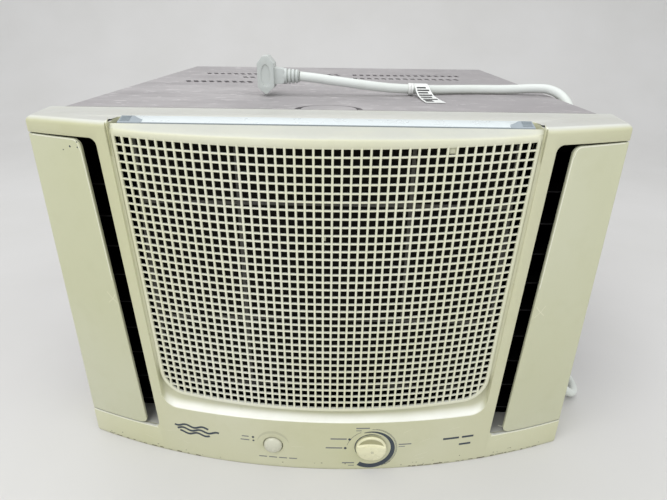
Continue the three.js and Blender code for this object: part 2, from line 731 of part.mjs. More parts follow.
function fanMotor() {
  const axis = [0, 0, FAN_AXIS_HEIGHT];
  const body = join(
    rod('y', axis, MOTOR.radius, MOTOR.y0, MOTOR.y1, 28),
    rod('y', axis, 14, MOTOR.y0 - 6, MOTOR.y1 + 6, 20),
  );
  addPart('fan_motor', cut(body, rod('y', axis, 5.5, MOTOR.y0 - 10, MOTOR.y1 + 10, 16)), 'galvanised');
  const base = 3 + SHEET + GAP;
  const leg = (y) => block(-48, 48, y, y + 3, base, FAN_AXIS_HEIGHT);
  const foot = block(-48, 48, -62, 0, base, base + 3);
  const cradle = cut(join(leg(-62), leg(-3), foot), rod('y', axis, MOTOR.radius + 0.4, -80, 20, 28));
  addPart('motor_bracket', cradle, 'galvanised');
  addPart('fan_shaft', rod('y', axis, 5, -114, 166, 16), 'galvanised');
}

function blowerWheel() {
  const axis = [0, 0, FAN_AXIS_HEIGHT];
  const rim = { outer: 88, inner: 74, y0: -168, y1: -102 };
  const blades = 18;
  let wheel = join(
    rod('y', axis, rim.outer, rim.y1 - 3, rim.y1, 32),
    rod('y', axis, 15, rim.y1 - 12, rim.y1, 16),
    cut(
      rod('y', axis, rim.outer, rim.y0, rim.y0 + 4, 32),
      rod('y', axis, rim.inner, rim.y0 - 1, rim.y0 + 5, 32),
    ),
  );
  for (let i = 0; i < blades; i++) {
    const blade = new THREE.BoxGeometry(12, rim.y1 - rim.y0 - 3, 1.6);
    blade.rotateY(0.5).translate(81, (rim.y0 + rim.y1) / 2, 0);
    blade.rotateY((i * 2 * Math.PI) / blades).translate(0, 0, FAN_AXIS_HEIGHT);
    wheel = wheel.add(solidFrom(blade));
  }
  addPart('blower_wheel', cut(wheel, rod('y', axis, 5.3, rim.y1 - 20, rim.y1 + 5, 16)), 'black');
}

function condenserFan() {
  const axis = [0, 0, FAN_AXIS_HEIGHT];
  const ring = { outer: 124, inner: 119, y0: 136, y1: 152 };
  const hub = rod('y', axis, 26, 132, 158, 24);
  let fan = join(
    hub,
    cut(rod('y', axis, ring.outer, ring.y0, ring.y1, 32), rod('y', axis, ring.inner, 120, 170, 32)),
  );
  const blades = 5;
  for (let i = 0; i < blades; i++) {
    const blade = new THREE.BoxGeometry(100, 2.4, 62, 2, 1, 1);
    const corners = blade.attributes.position;
    for (let k = 0; k < corners.count; k++) {
      const twist = 0.62 - 0.0035 * (corners.getX(k) + 50);
      const [y, z] = [corners.getY(k), corners.getZ(k)];
      corners.setY(k, y * Math.cos(twist) - z * 0.3 * Math.sin(twist));
      corners.setZ(k, y * 0.3 * Math.sin(twist) + z * Math.cos(twist));
    }
    blade.translate(72, 144, 0).rotateY((i * 2 * Math.PI) / blades).translate(0, 0, FAN_AXIS_HEIGHT);
    fan = fan.add(solidFrom(blade));
  }
  addPart('condenser_fan', cut(fan, rod('y', axis, 5.3, 120, 170, 16)), 'black');
}

function condenserShroud() {
  const axis = [0, 0, FAN_AXIS_HEIGHT];
  const hoop = { outer: 132, inner: 130 };
  const solid = join(block(-200, 200, 172, 174, 8, 310), rod('y', axis, hoop.outer, 142, 174, 36));
  addPart('condenser_shroud', cut(solid, rod('y', axis, hoop.inner, 130, 180, 36)), 'galvanised');
}

function capacitor() {
  const can = join(rod('z', [125, -60, 0], 20, 60, 132, 20), rod('z', [125, -60, 0], 8, 130, 138, 12));
  addPart('run_capacitor', can, 'galvanised');
}

blowerHousing();
fanMotor();
blowerWheel();
condenserFan();
condenserShroud();
capacitor();

// ---------------------------------------------------------------- power cord

// The lead leaves low on the right side, is wound up beside the cabinet, runs forward along
// the floor, turns up the side, and crosses the top to its plug.
const CORD_RADIUS = CORD_DIAMETER / 2;
const GLAND = { y: 80, z: 30, x0: CABINET_HALF_WIDTH + GAP, x1: 256 };
const COIL = { x: 302, y: 130, radius: 50, turns: 1.75, rest: 5 };
const PLUG = { x: -66, y: -71.5, z: 340.5, relief: -32.5 };

const CORD_ROUTE = [
  [252, 98, 5], [253, 70, 5], [256, 40, 5], [261, 10, 5], [267.5, -20, 5], [274.5, -50, 5],
  [280.5, -78, 5], [285, -102, 5], [287, -122, 5], [285.5, -138, 5], [279.5, -149.5, 6],
  [270.5, -155.5, 11], [261.5, -155.5, 20.5], [254, -151.5, 34], [248.6, -146.5, 52],
  [245, -142, 74], [243, -138.5, 98], [242, -136, 124], [241.8, -133.5, 157],
  [241.8, -131, 195], [242.2, -125, 235], [243.6, -114, 267],
  [245.4, -99, 293], [245.2, -83, 312], [240, -67, 323.4], [230, -54.5, 328.2], [216, -47.5, 328.4],
  [200, -44, 327], [183, -43, 326.4], [165, -44, 326.4], [147, -46, 326.4], [130, -49, 326.4],
  [112, -54, 326.6], [95, -60, 327.2], [76, -64.5, 328.4], [58, -67, 330.4], [40, -69, 333.2],
  [20, -70, 336.4], [0, -71, 339], [-16, -71.5, 340.3], [-32.2, -71.5, 340.5],
];

function strainRelief() {
  const axis = [0, GLAND.y, GLAND.z];
  const flange = rod('x', axis, 11, GLAND.x0, GLAND.x0 + 3, 20);
  const taper = rod('x', axis, 9, GLAND.x0 + 2, GLAND.x1, 20, 6.2);
  addPart('strain_relief', join(flange, taper), 'black');
}

function cords() {
  const entry = COIL.rest + COIL.turns * (CORD_DIAMETER + 0.2);
  const lead = smoothPath([
    [GLAND.x1 + 2 * GAP, GLAND.y, GLAND.z],
    [GLAND.x1 + 7, GLAND.y, GLAND.z],
    [270, GLAND.y, GLAND.z - 1],
  ]);
  addPart('cord_lead', tubeAlong(lead, CORD_RADIUS, 3), 'cord');
  const inner = COIL.radius - CORD_RADIUS;
  const outer = COIL.radius + CORD_RADIUS;
  const top = entry + CORD_RADIUS;
  const section = [[inner, 0.2], [outer, 0.2], [outer, top], [inner, top], [inner, 0.2]];
  const ring = turned(section, [COIL.x, COIL.y], 32);
  addPart('cord_coil', ring, 'cord');
  addPart('power_cord', tubeAlong(smoothPath(CORD_ROUTE), CORD_RADIUS, 64), 'cord');
}

// A three-pin plug whose cord leaves sideways; it stands on the edge of its long hexagon.
function powerPlug() {
  const half = { width: 8.4, height: 18.6, flat: 11.5 };
  const [front, rear] = [PLUG.y - 11, PLUG.y + 11];
  const hexagon = roundedShape([
    [PLUG.x, PLUG.z - half.height, 1],
    [PLUG.x + half.width, PLUG.z - half.flat, 1.5],
    [PLUG.x + half.width, PLUG.z + half.flat, 1.5],
    [PLUG.x + 2.6, PLUG.z + half.height, 1],
    [PLUG.x - 2.6, PLUG.z + half.height, 1],
    [PLUG.x - half.width, PLUG.z + half.flat, 1.5],
    [PLUG.x - half.width, PLUG.z - half.flat, 1.5],
  ]);
  const neck = block(PLUG.x, -47, PLUG.y - 8, PLUG.y + 8, PLUG.z - 8.5, PLUG.z + 8.5);
  const relief = rod('x', [0, PLUG.y, PLUG.z], 8, -48, PLUG.relief, 16, 7.2);
  const pin = (x, z) => rod('y', [x, 0, z], 2.4, rear - 1, rear + 19, 12);
  const pins = [pin(PLUG.x, PLUG.z - 9.5), pin(PLUG.x, PLUG.z + 9.5), pin(PLUG.x + 3, PLUG.z)];
  addPart('power_plug', join(extrudeBack(hexagon, front, rear, 2), neck, relief, ...pins), 'cord');
}

strainRelief();
cords();
powerPlug();

export default group;
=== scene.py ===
"""The looks of a window air conditioner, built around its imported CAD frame.

Sections: sizes, shape helpers, materials, camera and power cord, front panel, intake grille,
filter, doors and vanes, controls, cabinet, chassis, stage.
Shapes are drawn in millimetres, in the CAD's own frame, and become metres in make().
"""

import json
import math
import random

import bmesh
import bpy
from mathutils import Matrix, Vector


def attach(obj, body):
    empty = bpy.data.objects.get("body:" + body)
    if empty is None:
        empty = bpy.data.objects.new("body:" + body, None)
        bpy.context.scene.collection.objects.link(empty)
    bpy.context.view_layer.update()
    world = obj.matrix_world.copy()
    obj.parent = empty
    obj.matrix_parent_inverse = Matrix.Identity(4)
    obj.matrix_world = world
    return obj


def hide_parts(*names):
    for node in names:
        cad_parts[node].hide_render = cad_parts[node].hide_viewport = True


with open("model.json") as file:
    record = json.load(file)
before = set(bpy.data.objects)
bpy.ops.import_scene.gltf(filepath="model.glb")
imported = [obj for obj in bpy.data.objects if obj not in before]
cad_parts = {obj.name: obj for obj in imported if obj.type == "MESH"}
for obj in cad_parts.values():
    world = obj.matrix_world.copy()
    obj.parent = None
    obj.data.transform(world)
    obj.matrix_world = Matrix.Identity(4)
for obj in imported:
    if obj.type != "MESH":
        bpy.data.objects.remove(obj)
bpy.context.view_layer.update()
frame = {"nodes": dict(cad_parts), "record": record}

# ---------------------------------------------------------------- sizes

# Many are the CAD source's. The cabinet is a little wider and lower here and the filter slot is
# less deep. The fall of the top, the edge radii, the well, the filter's parts and the camera
# have their own values.

MM = 0.001
PANEL_HEIGHT = 322.0
PANEL_HALF_WIDTH = 236.5
PANEL_FLARE = 13.5
BOW_DEPTH = 44.0
FRONT_Y = -261.5
CORNER_Y = FRONT_Y + BOW_DEPTH
PANEL_REAR_Y = CORNER_Y + 57.0
CABINET_REAR_Y = 269.5
BOW_RADIUS = (PANEL_HALF_WIDTH**2 + BOW_DEPTH**2) / (2 * BOW_DEPTH)
BOW_CENTRE_Y = FRONT_Y + BOW_RADIUS
WALL = 3.0
SHEET = 1.6

CABINET_HALF_WIDTH = 238.2
CABINET_TOP = 320.2
CABINET_BOTTOM = 2.0

SLOT_TOP = 308.8
SLOT_BOTTOM = 28.5
SLOT_INNER_TOP = 173.5
SLOT_INNER_LOW = 160.0
DOOR_INNER_TOP = 187.7
DOOR_INNER_LOW = 173.0
DUCT_REAR_Y = PANEL_REAR_Y - 19
FILTER_SLOT_REAR_Y = CORNER_Y + 4.5
GRILLE_RETURN_REAR_Y = CORNER_Y - 18.5
TOP_FALL = 1.8
TOP_RADIUS = 5.0
FOOT_RADIUS = 0.7
FOOT_SIDE_RADIUS = 2.4
WELL_FLOOR = 290.0
FILTER_Y = (-231.0, -227.5)
LINER_REAR_Y = -231.9
LEDGE_Y = (-227.2, -226.2)
DOOR_AXIS = (232.5, CORNER_Y + 4.2)
RACK = {"x0": 224.0, "x1": 226.4, "y0": -207.0, "y1": -184.0}

VANE_COUNT = 9
VANE_PITCH = 28.1
VANE_LOWEST = 43.1
VANE_CHORD = 24.0
VANE_AXIS_Y = -203.0
LINK_OFFSET = 8.0

SELECTOR = (45.4, 28.0)
BUTTON = (-46.7, 27.6)
CORD_DIAMETER = 9.5
SIDES = {"left": -1, "right": 1}
CAMERA_PLACE = (0.0159, -0.6145, 0.3915)
CAMERA_TURN = (0.4267, -0.0217, 0.0107)
CAMERA_LENS = 27.23
CAMERA_SENSOR = 36.0

# ---------------------------------------------------------------- shape helpers


def polar(radius, angle):
    return radius * math.cos(angle), radius * math.sin(angle)


def quarter_turn(steps):
    """Sine and cosine at even steps over a quarter turn, for rounded edges."""
    angles = [math.pi / 2 * k / steps for k in range(steps + 1)]
    return [(math.sin(angle), math.cos(angle)) for angle in angles]


class Shape:
    """Corner points and faces of one or more closed shells, in millimetres."""

    def __init__(self):
        self.points = []
        self.faces = []

    def add(self, points, faces):
        base = len(self.points)
        self.points.extend(points)
        self.faces.extend([base + i for i in face] for face in faces)
        return self

    def loft(self, rings, closed_path=False):
        """A closed shell through rings of equal length, capped unless the path closes."""
        count = len(rings[0])
        points = [p for ring in rings for p in ring]
        faces = []
        spans = len(rings) if closed_path else len(rings) - 1
        for i in range(spans):
            a, b = i * count, ((i + 1) % len(rings)) * count
            for j in range(count):
                k = (j + 1) % count
                faces.append((a + j, a + k, b + k, b + j))
        if not closed_path:
            last = (len(rings) - 1) * count
            faces.append(tuple(range(count - 1, -1, -1)))
            faces.append(tuple(range(last, last + count)))
        return self.add(points, faces)

    def box(self, x, y, z):
        rings = [[(x[i], y[j], height) for i, j in ((0, 0), (1, 0), (1, 1), (0, 1))] for height in z]
        return self.loft(rings)

    def side_box(self, side, x, y, z):
        return self.box(sorted((side * x[0], side * x[1])), y, z)

    def upright(self, outline, z0, z1):
        """A prism from an outline in (x, y)."""
        return self.loft([[(x, y, z) for x, y in outline] for z in (z0, z1)])

    def backward(self, outline, y0, y1):
        """A prism from an outline in (x, z)."""
        return self.loft([[(x, y, z) for x, z in outline] for y in (y0, y1)])

    def across(self, outline, x0, x1):
        """A prism from an outline in (y, z)."""
        return self.loft([[(x, y, z) for y, z in outline] for x in (x0, x1)])

    def turned(self, profile, centre, axis="z", segments=48):
        """A turned shell from [radius, distance along the axis] points; both ends are closed."""
        rings = []
        for radius, along in profile:
            ring = []
            for k in range(segments):
                u, v = polar(radius, 2 * math.pi * k / segments)
                local = {"z": (u, v, along), "y": (u, along, v), "x": (along, u, v)}[axis]
                ring.append(tuple(c + d for c, d in zip(centre, local)))
            rings.append(ring)
        return self.loft(rings)


def from_columns(columns):
    """A shell lofted along columns of points, each of which runs the length of the shell."""
    return Shape().loft([list(row) for row in zip(*columns)])


def build_mesh(name, shape):
    mesh = bpy.data.meshes.new(name)
    mesh.from_pydata([Vector(p) * MM for p in shape.points], [], shape.faces)
    work = bmesh.new()
    work.from_mesh(mesh)
    bmesh.ops.recalc_face_normals(work, faces=work.faces)
    work.to_mesh(mesh)
    work.free()
    return mesh


def link(obj):
    bpy.context.scene.collection.objects.link(obj)
    return obj


def apply_modifiers(obj):
    graph = bpy.context.evaluated_depsgraph_get()
    mesh = bpy.data.meshes.new_from_object(obj.evaluated_get(graph))
    obj.modifiers.clear()
    obj.data = mesh


def combine(obj, shape, operation):
    """Cuts a shape from obj or joins it on, as the operation says."""
    tool = link(bpy.data.objects.new("tool", build_mesh("tool", shape)))
    modifier = obj.modifiers.new("combine", "BOOLEAN")
    modifier.operation = operation
    modifier.solver = "EXACT"
    modifier.object = tool
    apply_modifiers(obj)
    bpy.data.objects.remove(tool)


def cut(obj, shape):
    combine(obj, shape, "DIFFERENCE")


def join(obj, shape):
    combine(obj, shape, "UNION")


def soften(obj, width, segments=2, angle=35, clamp=True):
    """Rounds the edges that turn by more than an angle."""
    modifier = obj.modifiers.new("soften", "BEVEL")
    modifier.width = width * MM
    modifier.segments = segments
    modifier.limit_method = "ANGLE"
    modifier.angle_limit = math.radians(angle)
    modifier.use_clamp_overlap = clamp
    modifier.harden_normals = False
    apply_modifiers(obj)


def tidy(obj, gap=0.02):
    """Merges corners that a cut left almost in one place."""
    work = bmesh.new()
    work.from_mesh(obj.data)
    bmesh.ops.remove_doubles(work, verts=work.verts, dist=gap * MM)
    bmesh.ops.dissolve_degenerate(work, edges=work.edges, dist=gap * MM)
    work.to_mesh(obj.data)
    work.free()


def shade(obj, crease=32):
    mesh = obj.data
    mesh.polygons.foreach_set("use_smooth", [True] * len(mesh.polygons))
    mesh.set_sharp_from_angle(angle=math.radians(crease))


def start(name, shape):
    return link(bpy.data.objects.new(name, build_mesh(name, shape)))


def give(obj, material, body, replaces=(), crease=32):
    """Finishes a piece: shading, material, the body it rides on and the nodes it stands for."""
    if obj.type == "MESH":
        shade(obj, crease)
    obj.data.materials.clear()
    obj.data.materials.append(material)
    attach(obj, body)
    if replaces:
        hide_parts(*replaces)
    return obj


def make(name, shape, material, body, slot, replaces=(), bevel=0.0, segments=2, crease=32):
    obj = start(name, shape)
    if bevel:
        soften(obj, bevel, segments)
    return give(obj, material, body, replaces, crease)


def on(body, slot):
    """A short form of make() for pieces that share a body and a slot; make() does not use the slot."""

    def make_there(name, shape, material, replaces=(), **finish):
        return make(name, shape, material, body, slot, replaces, **finish)

    return make_there


panel_piece = on("unit", "panel_plastic")
grille_piece = on("unit", "grille_plastic")
dark_piece = on("unit", "black_plastic")
filter_piece = on("air_filter", "filter_plastic")
cord_piece = on("unit", "cord_sheath")
knob_piece = on("selector_knob", "knob_plastic")


def arc(centre, radius, start_angle, end_angle, steps):
    """Points on an arc in a plane, from one angle to another, in radians."""
    points = []
    for k in range(steps + 1):
        angle = start_angle + (end_angle - start_angle) * k / steps
        points.append((centre[0] + radius * math.cos(angle), centre[1] + radius * math.sin(angle)))
    return points


def rounded(corners, steps=6):
    """A polygon whose corners are rounded by the radius that each may give as a third number."""
    outline = []
    count = len(corners)
    for i, corner in enumerate(corners):
        here = Vector(corner[:2])
        radius = corner[2] if len(corner) > 2 else 0.0
        if not radius:
            outline.append(tuple(here))
            continue
        before = (Vector(corners[i - 1][:2]) - here).normalized()
        after = (Vector(corners[(i + 1) % count][:2]) - here).normalized()
        half_angle = math.acos(max(-1, min(1, before.dot(after)))) / 2
        reach = radius / math.tan(half_angle)
        first, last = here + before * reach, here + after * reach
        centre = here + (before + after).normalized() * (radius / math.sin(half_angle))
        a0 = math.atan2(first.y - centre.y, first.x - centre.x)
        a1 = math.atan2(last.y - centre.y, last.x - centre.x)
        while a1 - a0 > math.pi:
            a1 -= 2 * math.pi
        while a1 - a0 < -math.pi:
            a1 += 2 * math.pi
        outline.extend(arc(centre, radius, a0, a1, steps))
    return outline


def bow_y(x, inset=0.0):
    """The y of the bowed front at a distance from the middle, moved back by an inset."""
    return BOW_CENTRE_Y - math.sqrt((BOW_RADIUS - inset) ** 2 - x * x)


def spread(first, last, count):
    return [first + (last - first) * k / (count - 1) for k in range(count)]


def panel_plan(inset, rear_y, side_inset=None, steps=36):
    """The panel's outline seen from above, drawn in by an inset."""
    half = PANEL_HALF_WIDTH - (inset if side_inset is None else side_inset)
    lean = PANEL_FLARE * (rear_y - CORNER_Y) / (PANEL_REAR_Y - CORNER_Y)
    front = [(x, bow_y(x, inset)) for x in spread(-half, half, steps + 1)]
    front[0] = (*front[0], 2.5)
    front[-1] = (*front[-1], 2.5)
    return rounded([(-half - lean, rear_y), *front, (half + lean, rear_y)], 4)


def smooth_path(points, step=3.0):
    """Points a few millimetres apart on a smooth curve through the given ones."""
    points = [Vector(p) for p in points]
    ends = [2 * points[0] - points[1], *points, 2 * points[-1] - points[-2]]
    path = []
    for a, b, c, d in zip(ends, ends[1:], ends[2:], ends[3:]):
        knots = [0.0]
        for p, q in ((a, b), (b, c), (c, d)):
            knots.append(knots[-1] + math.sqrt(max((q - p).length, 1e-6)))
        t0, t1, t2, t3 = knots
        count = max(2, round((c - b).length / step))
        for k in range(count):
            t = t1 + (t2 - t1) * k / count
            ab = a * ((t1 - t) / (t1 - t0)) + b * ((t - t0) / (t1 - t0))
            bc = b * ((t2 - t) / (t2 - t1)) + c * ((t - t1) / (t2 - t1))
            cd = c * ((t3 - t) / (t3 - t2)) + d * ((t - t2) / (t3 - t2))
            abc = ab * ((t2 - t) / (t2 - t0)) + bc * ((t - t0) / (t2 - t0))
            bcd = bc * ((t3 - t) / (t3 - t1)) + cd * ((t - t1) / (t3 - t1))
            path.append(abc * ((t2 - t) / (t2 - t1)) + bcd * ((t - t1) / (t2 - t1)))
    path.append(points[-1])
    return path


# ---------------------------------------------------------------- materials


class Nodes:
    """A material's node tree, with short calls for the nodes used here."""

    def __init__(self, name):
        self.material = bpy.data.materials.new(name)
        self.material.use_nodes = True
        self.tree = self.material.node_tree
        self.shader = self.tree.nodes["Principled BSDF"]
        self.place = self.new("ShaderNodeTexCoord").outputs["Object"]

    def new(self, kind, **settings):
        node = self.tree.nodes.new(kind)
        for key, value in settings.items():
            setattr(node, key, value)
        return node

    def join(self, output, socket):
        self.tree.links.new(output, socket)

    def stretched(self, scale):
        node = self.new("ShaderNodeMapping")
        node.inputs["Scale"].default_value = scale
        self.join(self.place, node.inputs["Vector"])
        return node.outputs["Vector"]

    def noise(self, scale, detail=3.0, roughness=0.55, distortion=0.0, vector=None):
        node = self.new("ShaderNodeTexNoise")
        node.inputs["Scale"].default_value = scale
        node.inputs["Detail"].default_value = detail
        node.inputs["Roughness"].default_value = roughness
        node.inputs["Distortion"].default_value = distortion
        self.join(vector or self.place, node.inputs["Vector"])
        return node.outputs["Fac"]

    def cells(self, scale, vector=None, feature="F1"):
        node = self.new("ShaderNodeTexVoronoi", feature=feature)
        node.inputs["Scale"].default_value = scale
        self.join(vector or self.place, node.inputs["Vector"])
        return node.outputs["Distance"]

    def mix(self, amount, first, second, blend="MIX"):
        node = self.new("ShaderNodeMix", data_type="RGBA", blend_type=blend)
        for place, value in ((0, amount), (6, first), (7, second)):
            socket = node.inputs[place]
            if isinstance(value, tuple):
                socket.default_value = (*value, 1)
            elif isinstance(value, float):
                socket.default_value = value
            else:
                self.join(value, socket)
        return node.outputs[2]

    def scaled(self, value, low, high, from_low=0.3, from_high=0.7):
        node = self.new("ShaderNodeMapRange")
        ends = {"From Min": from_low, "From Max": from_high, "To Min": low, "To Max": high}
        for key, number in ends.items():
            node.inputs[key].default_value = number
        self.join(value, node.inputs["Value"])
        return node.outputs["Result"]

    def crevices(self, distance, samples=6):
        """Dark where another surface is near, in corners and recesses."""
        node = self.new("ShaderNodeAmbientOcclusion", samples=samples)
        node.inputs["Distance"].default_value = distance * MM
        return node.outputs["AO"]

    def upward(self, start=0.4, full=0.9):
        """One on faces that look up, zero on the others."""
        split = self.new("ShaderNodeSeparateXYZ")
        self.join(self.new("ShaderNodeNewGeometry").outputs["Normal"], split.inputs[0])
        return self.scaled(split.outputs["Z"], 0.0, 1.0, start, full)

    def bump(self, height, strength, distance, before=None):
        node = self.new("ShaderNodeBump")
        node.inputs["Strength"].default_value = strength
        node.inputs["Distance"].default_value = distance * MM
        self.join(height, node.inputs["Height"])
        if before is not None:
            self.join(before, node.inputs["Normal"])
        return node.outputs["Normal"]

    def finish(self, colour=None, roughness=None, normal=None, **values):
        for socket, value in (("Base Color", colour), ("Roughness", roughness), ("Normal", normal)):
            if isinstance(value, float):
                self.shader.inputs[socket].default_value = value
            elif value is not None:
                self.join(value, self.shader.inputs[socket])
        for key, value in values.items():
            self.shader.inputs[key.replace("_", " ")].default_value = value
        return self.material


def shifted(colour, factor, yellow=0.0):
    """A colour made lighter or darker, and a little more yellow."""
    return tuple(c * factor * (1 - yellow * (1.0 if i == 2 else 0.0)) for i, c in enumerate(colour))


def moulded(
    name, colour, roughness=0.45, grain=1400.0, grain_depth=0.05, stain=0.12, corner_shade=0.35, specular=0.4,
    top_reflection=0.0, reflection_colour=(0.66, 0.67, 0.62), dust=0.0, flecks=0.35,
):
    """Aged moulded plastic: grain, colour drift, stains, painted shade in corners, a painted reflection on
    tops, and dust.
    """
    n = Nodes(name)
    drift = n.noise(7.0, 2.0, vector=n.stretched((1.0, 1.0, 0.6)))
    base = n.mix(n.scaled(drift, 0.0, 1.0), shifted(colour, 1.03), shifted(colour, 0.95, stain))
    blotch = n.noise(38.0, 4.0, 0.6)
    base = n.mix(n.scaled(blotch, 0.0, 0.25, 0.52, 0.75), base, shifted(colour, 0.86, stain * 1.5))
    specks = n.cells(320.0)
    base = n.mix(n.scaled(specks, flecks, 0.0, 0.03, 0.09), base, shifted(colour, 0.62, stain))
    # Painted reflection: faces that look up take a sky colour, mottled by the blotches.
    if top_reflection:
        cover = n.mix(1.0, n.upward(), n.scaled(blotch, top_reflection, top_reflection * 0.82, 0.4, 0.7), "MULTIPLY")
        base = n.mix(cover, base, reflection_colour)
    if dust:
        settled = n.mix(1.0, n.upward(0.965, 0.998), n.scaled(drift, dust, dust * 0.75), "MULTIPLY")
        base = n.mix(settled, base, (0.47, 0.465, 0.43))
    # Painted shade: darker where another surface is near, in corners and recesses.
    corner = n.crevices(5.0)
    base = n.mix(n.scaled(corner, corner_shade, 0.0, 0.35, 0.85), base, shifted(colour, 0.42, 0.25))
    fine = n.noise(grain, 2.0)
    wide = n.noise(60.0, 3.0)
    rough = n.scaled(wide, roughness - 0.07, roughness + 0.09)
    normal = n.bump(fine, 0.35, grain_depth, n.bump(wide, 0.12, 0.12))
    return n.finish(base, rough, normal, Specular_IOR_Level=specular)


def dusty_paint(name, colour, dust, roughness=0.5):
    """Enamelled steel with dust, flakes and rubbed streaks on what faces up, and a top that grows darker to
    the right.
    """
    n = Nodes(name)
    drift = n.noise(5.0, 3.0)
    paint = n.mix(n.scaled(drift, 0.0, 1.0), shifted(colour, 1.05), shifted(colour, 0.9))
    smear = n.noise(9.0, 6.0, 0.6, 0.8, vector=n.stretched((1.0, 2.2, 1.0)))
    rubbed = n.noise(30.0, 5.0, 0.6, 0.5, vector=n.stretched((0.5, 2.4, 1.0)))
    cover = n.mix(0.35, smear, rubbed)
    # Darker towards the right: less of the lighter cover as x grows.
    across = n.new("ShaderNodeSeparateXYZ")
    n.join(n.stretched((1.0, 1.0, 1.0)), across.inputs[0])
    level = n.mix(1.0, n.upward(), n.scaled(across.outputs["X"], 1.0, 0.62, -0.1, 0.22), "MULTIPLY")
    amount = n.mix(1.0, n.scaled(cover, 0.2, 1.0, 0.40, 0.60), level, "MULTIPLY")
    base = n.mix(amount, paint, dust)
    flake = n.noise(75.0, 3.0, 0.5, 0.9, vector=n.stretched((0.7, 2.4, 1.0)))
    flakes = n.mix(1.0, n.scaled(flake, 0.0, 0.75, 0.615, 0.665), level, "MULTIPLY")
    base = n.mix(flakes, base, shifted(dust, 1.45))
    grit = n.cells(420.0)
    base = n.mix(n.scaled(grit, 0.5, 0.0, 0.04, 0.10), base, shifted(dust, 0.55))
    scratch = n.noise(9.0, 8.0, 0.8, 3.0, vector=n.stretched((6.0, 1.0, 1.0)))
    base = n.mix(n.scaled(scratch, 0.0, 0.35, 0.62, 0.68), base, shifted(colour, 1.35))
    rough = n.scaled(cover, roughness, roughness + 0.3)
    peel = n.noise(520.0, 2.0)
    normal = n.bump(peel, 0.25, 0.06, n.bump(cover, 0.15, 0.25))
    return n.finish(base, rough, normal, Specular_IOR_Level=0.45)


def zinc(name, colour=(0.46, 0.48, 0.49), roughness=0.42):
    """Galvanised sheet: spangle, streaks and a little white bloom."""
    n = Nodes(name)
    spangle = n.cells(160.0)
    streak = n.noise(20.0, 5.0, 0.6, 0.5, vector=n.stretched((1.0, 4.0, 1.0)))
    base = n.mix(n.scaled(spangle, 0.0, 0.5, 0.2, 0.8), colour, shifted(colour, 0.8))
    base = n.mix(n.scaled(streak, 0.0, 0.4, 0.5, 0.75), base, shifted(colour, 1.25))
    corner = n.crevices(8.0)
    base = n.mix(n.scaled(corner, 0.5, 0.0, 0.3, 0.8), base, (0.16, 0.12, 0.09))
    rough = n.scaled(streak, roughness - 0.1, roughness + 0.2)
    normal = n.bump(spangle, 0.15, 0.05, n.bump(streak, 0.1, 0.1))
    return n.finish(base, rough, normal, Metallic=0.85)


def bare_metal(name, colour, tarnish, roughness, stretch=(1.0, 1.0, 8.0)):
    """Drawn or rolled metal with tarnish and fine lines along it."""
    n = Nodes(name)
    bloom = n.noise(45.0, 4.0, 0.6)
    lines = n.noise(260.0, 3.0, 0.6, vector=n.stretched(stretch))
    base = n.mix(n.scaled(bloom, 0.0, 0.75, 0.4, 0.7), colour, tarnish)
    base = n.mix(n.scaled(lines, 0.0, 0.35), base, shifted(colour, 0.7))
    rough = n.scaled(bloom, roughness, roughness + 0.25)
    return n.finish(base, rough, n.bump(lines, 0.2, 0.05), Metallic=1.0)


CREAM = (0.60, 0.595, 0.425)
NO_STAIN_NO_SHADE = {"stain": 0.0, "corner_shade": 0.0}
cream = moulded("cream_plastic", CREAM, 0.36, specular=0.5, top_reflection=0.95, dust=0.75)
# The grille's tops take a grey painted reflection.
grille_cream = moulded(
    "grille_plastic", (0.76, 0.755, 0.615), 0.40, corner_shade=0.25, top_reflection=0.8, reflection_colour=(0.49, 0.50, 0.465),
)
door_cream = moulded("door_plastic", (0.59, 0.595, 0.445), 0.36, specular=0.5, top_reflection=0.6)
# The cove's upward faces take a near-white painted highlight.
cove_cream = moulded(
    "cove_plastic", (0.60, 0.595, 0.45), 0.34, corner_shade=0.3, specular=0.5, top_reflection=1.0,
    reflection_colour=(0.93, 0.935, 0.88),
)
# Painted shadow: the crescent above the button.
shadow_cream = moulded("painted_shadow_plastic", (0.51, 0.505, 0.365), 0.5)
# Painted highlight for the thin light lines along lit edges.
painted_edge_highlight = moulded("painted_edge_highlight", (0.83, 0.83, 0.70), 0.35, stain=0.05, corner_shade=0.0)
scuff = moulded("scuff", (0.72, 0.71, 0.58), 0.6)
filter_plastic = moulded("filter_plastic", (0.33, 0.375, 0.41), 0.5, stain=0.02)
filter_frame = moulded("filter_frame", (0.115, 0.11, 0.10), 0.6, stain=0.1)
filter_strip = moulded("filter_strip", (0.72, 0.78, 0.785), 0.30, **NO_STAIN_NO_SHADE, flecks=0.05)
filter_mesh = moulded(
    "filter_mesh", (0.010, 0.009, 0.007), 0.8, grain=2600.0, grain_depth=0.2, stain=0.0, specular=0.1,
)
# Black plastic made darker and less glossy than real: painted shade in the ducts, behind the grille and on
# the vanes.
black = moulded("black_plastic", (0.0022, 0.0022, 0.002), 0.75, **NO_STAIN_NO_SHADE, specular=0.02)
# Painted highlight on the vanes' front edges.
vane_nose_highlight = moulded("vane_nose_highlight", (0.03, 0.03, 0.03), 0.4, **NO_STAIN_NO_SHADE, specular=0.4)
ivory = moulded(
    "knob_plastic", (0.81, 0.785, 0.55), 0.26, grain_depth=0.02, stain=0.05, corner_shade=0.3, specular=0.6,
)
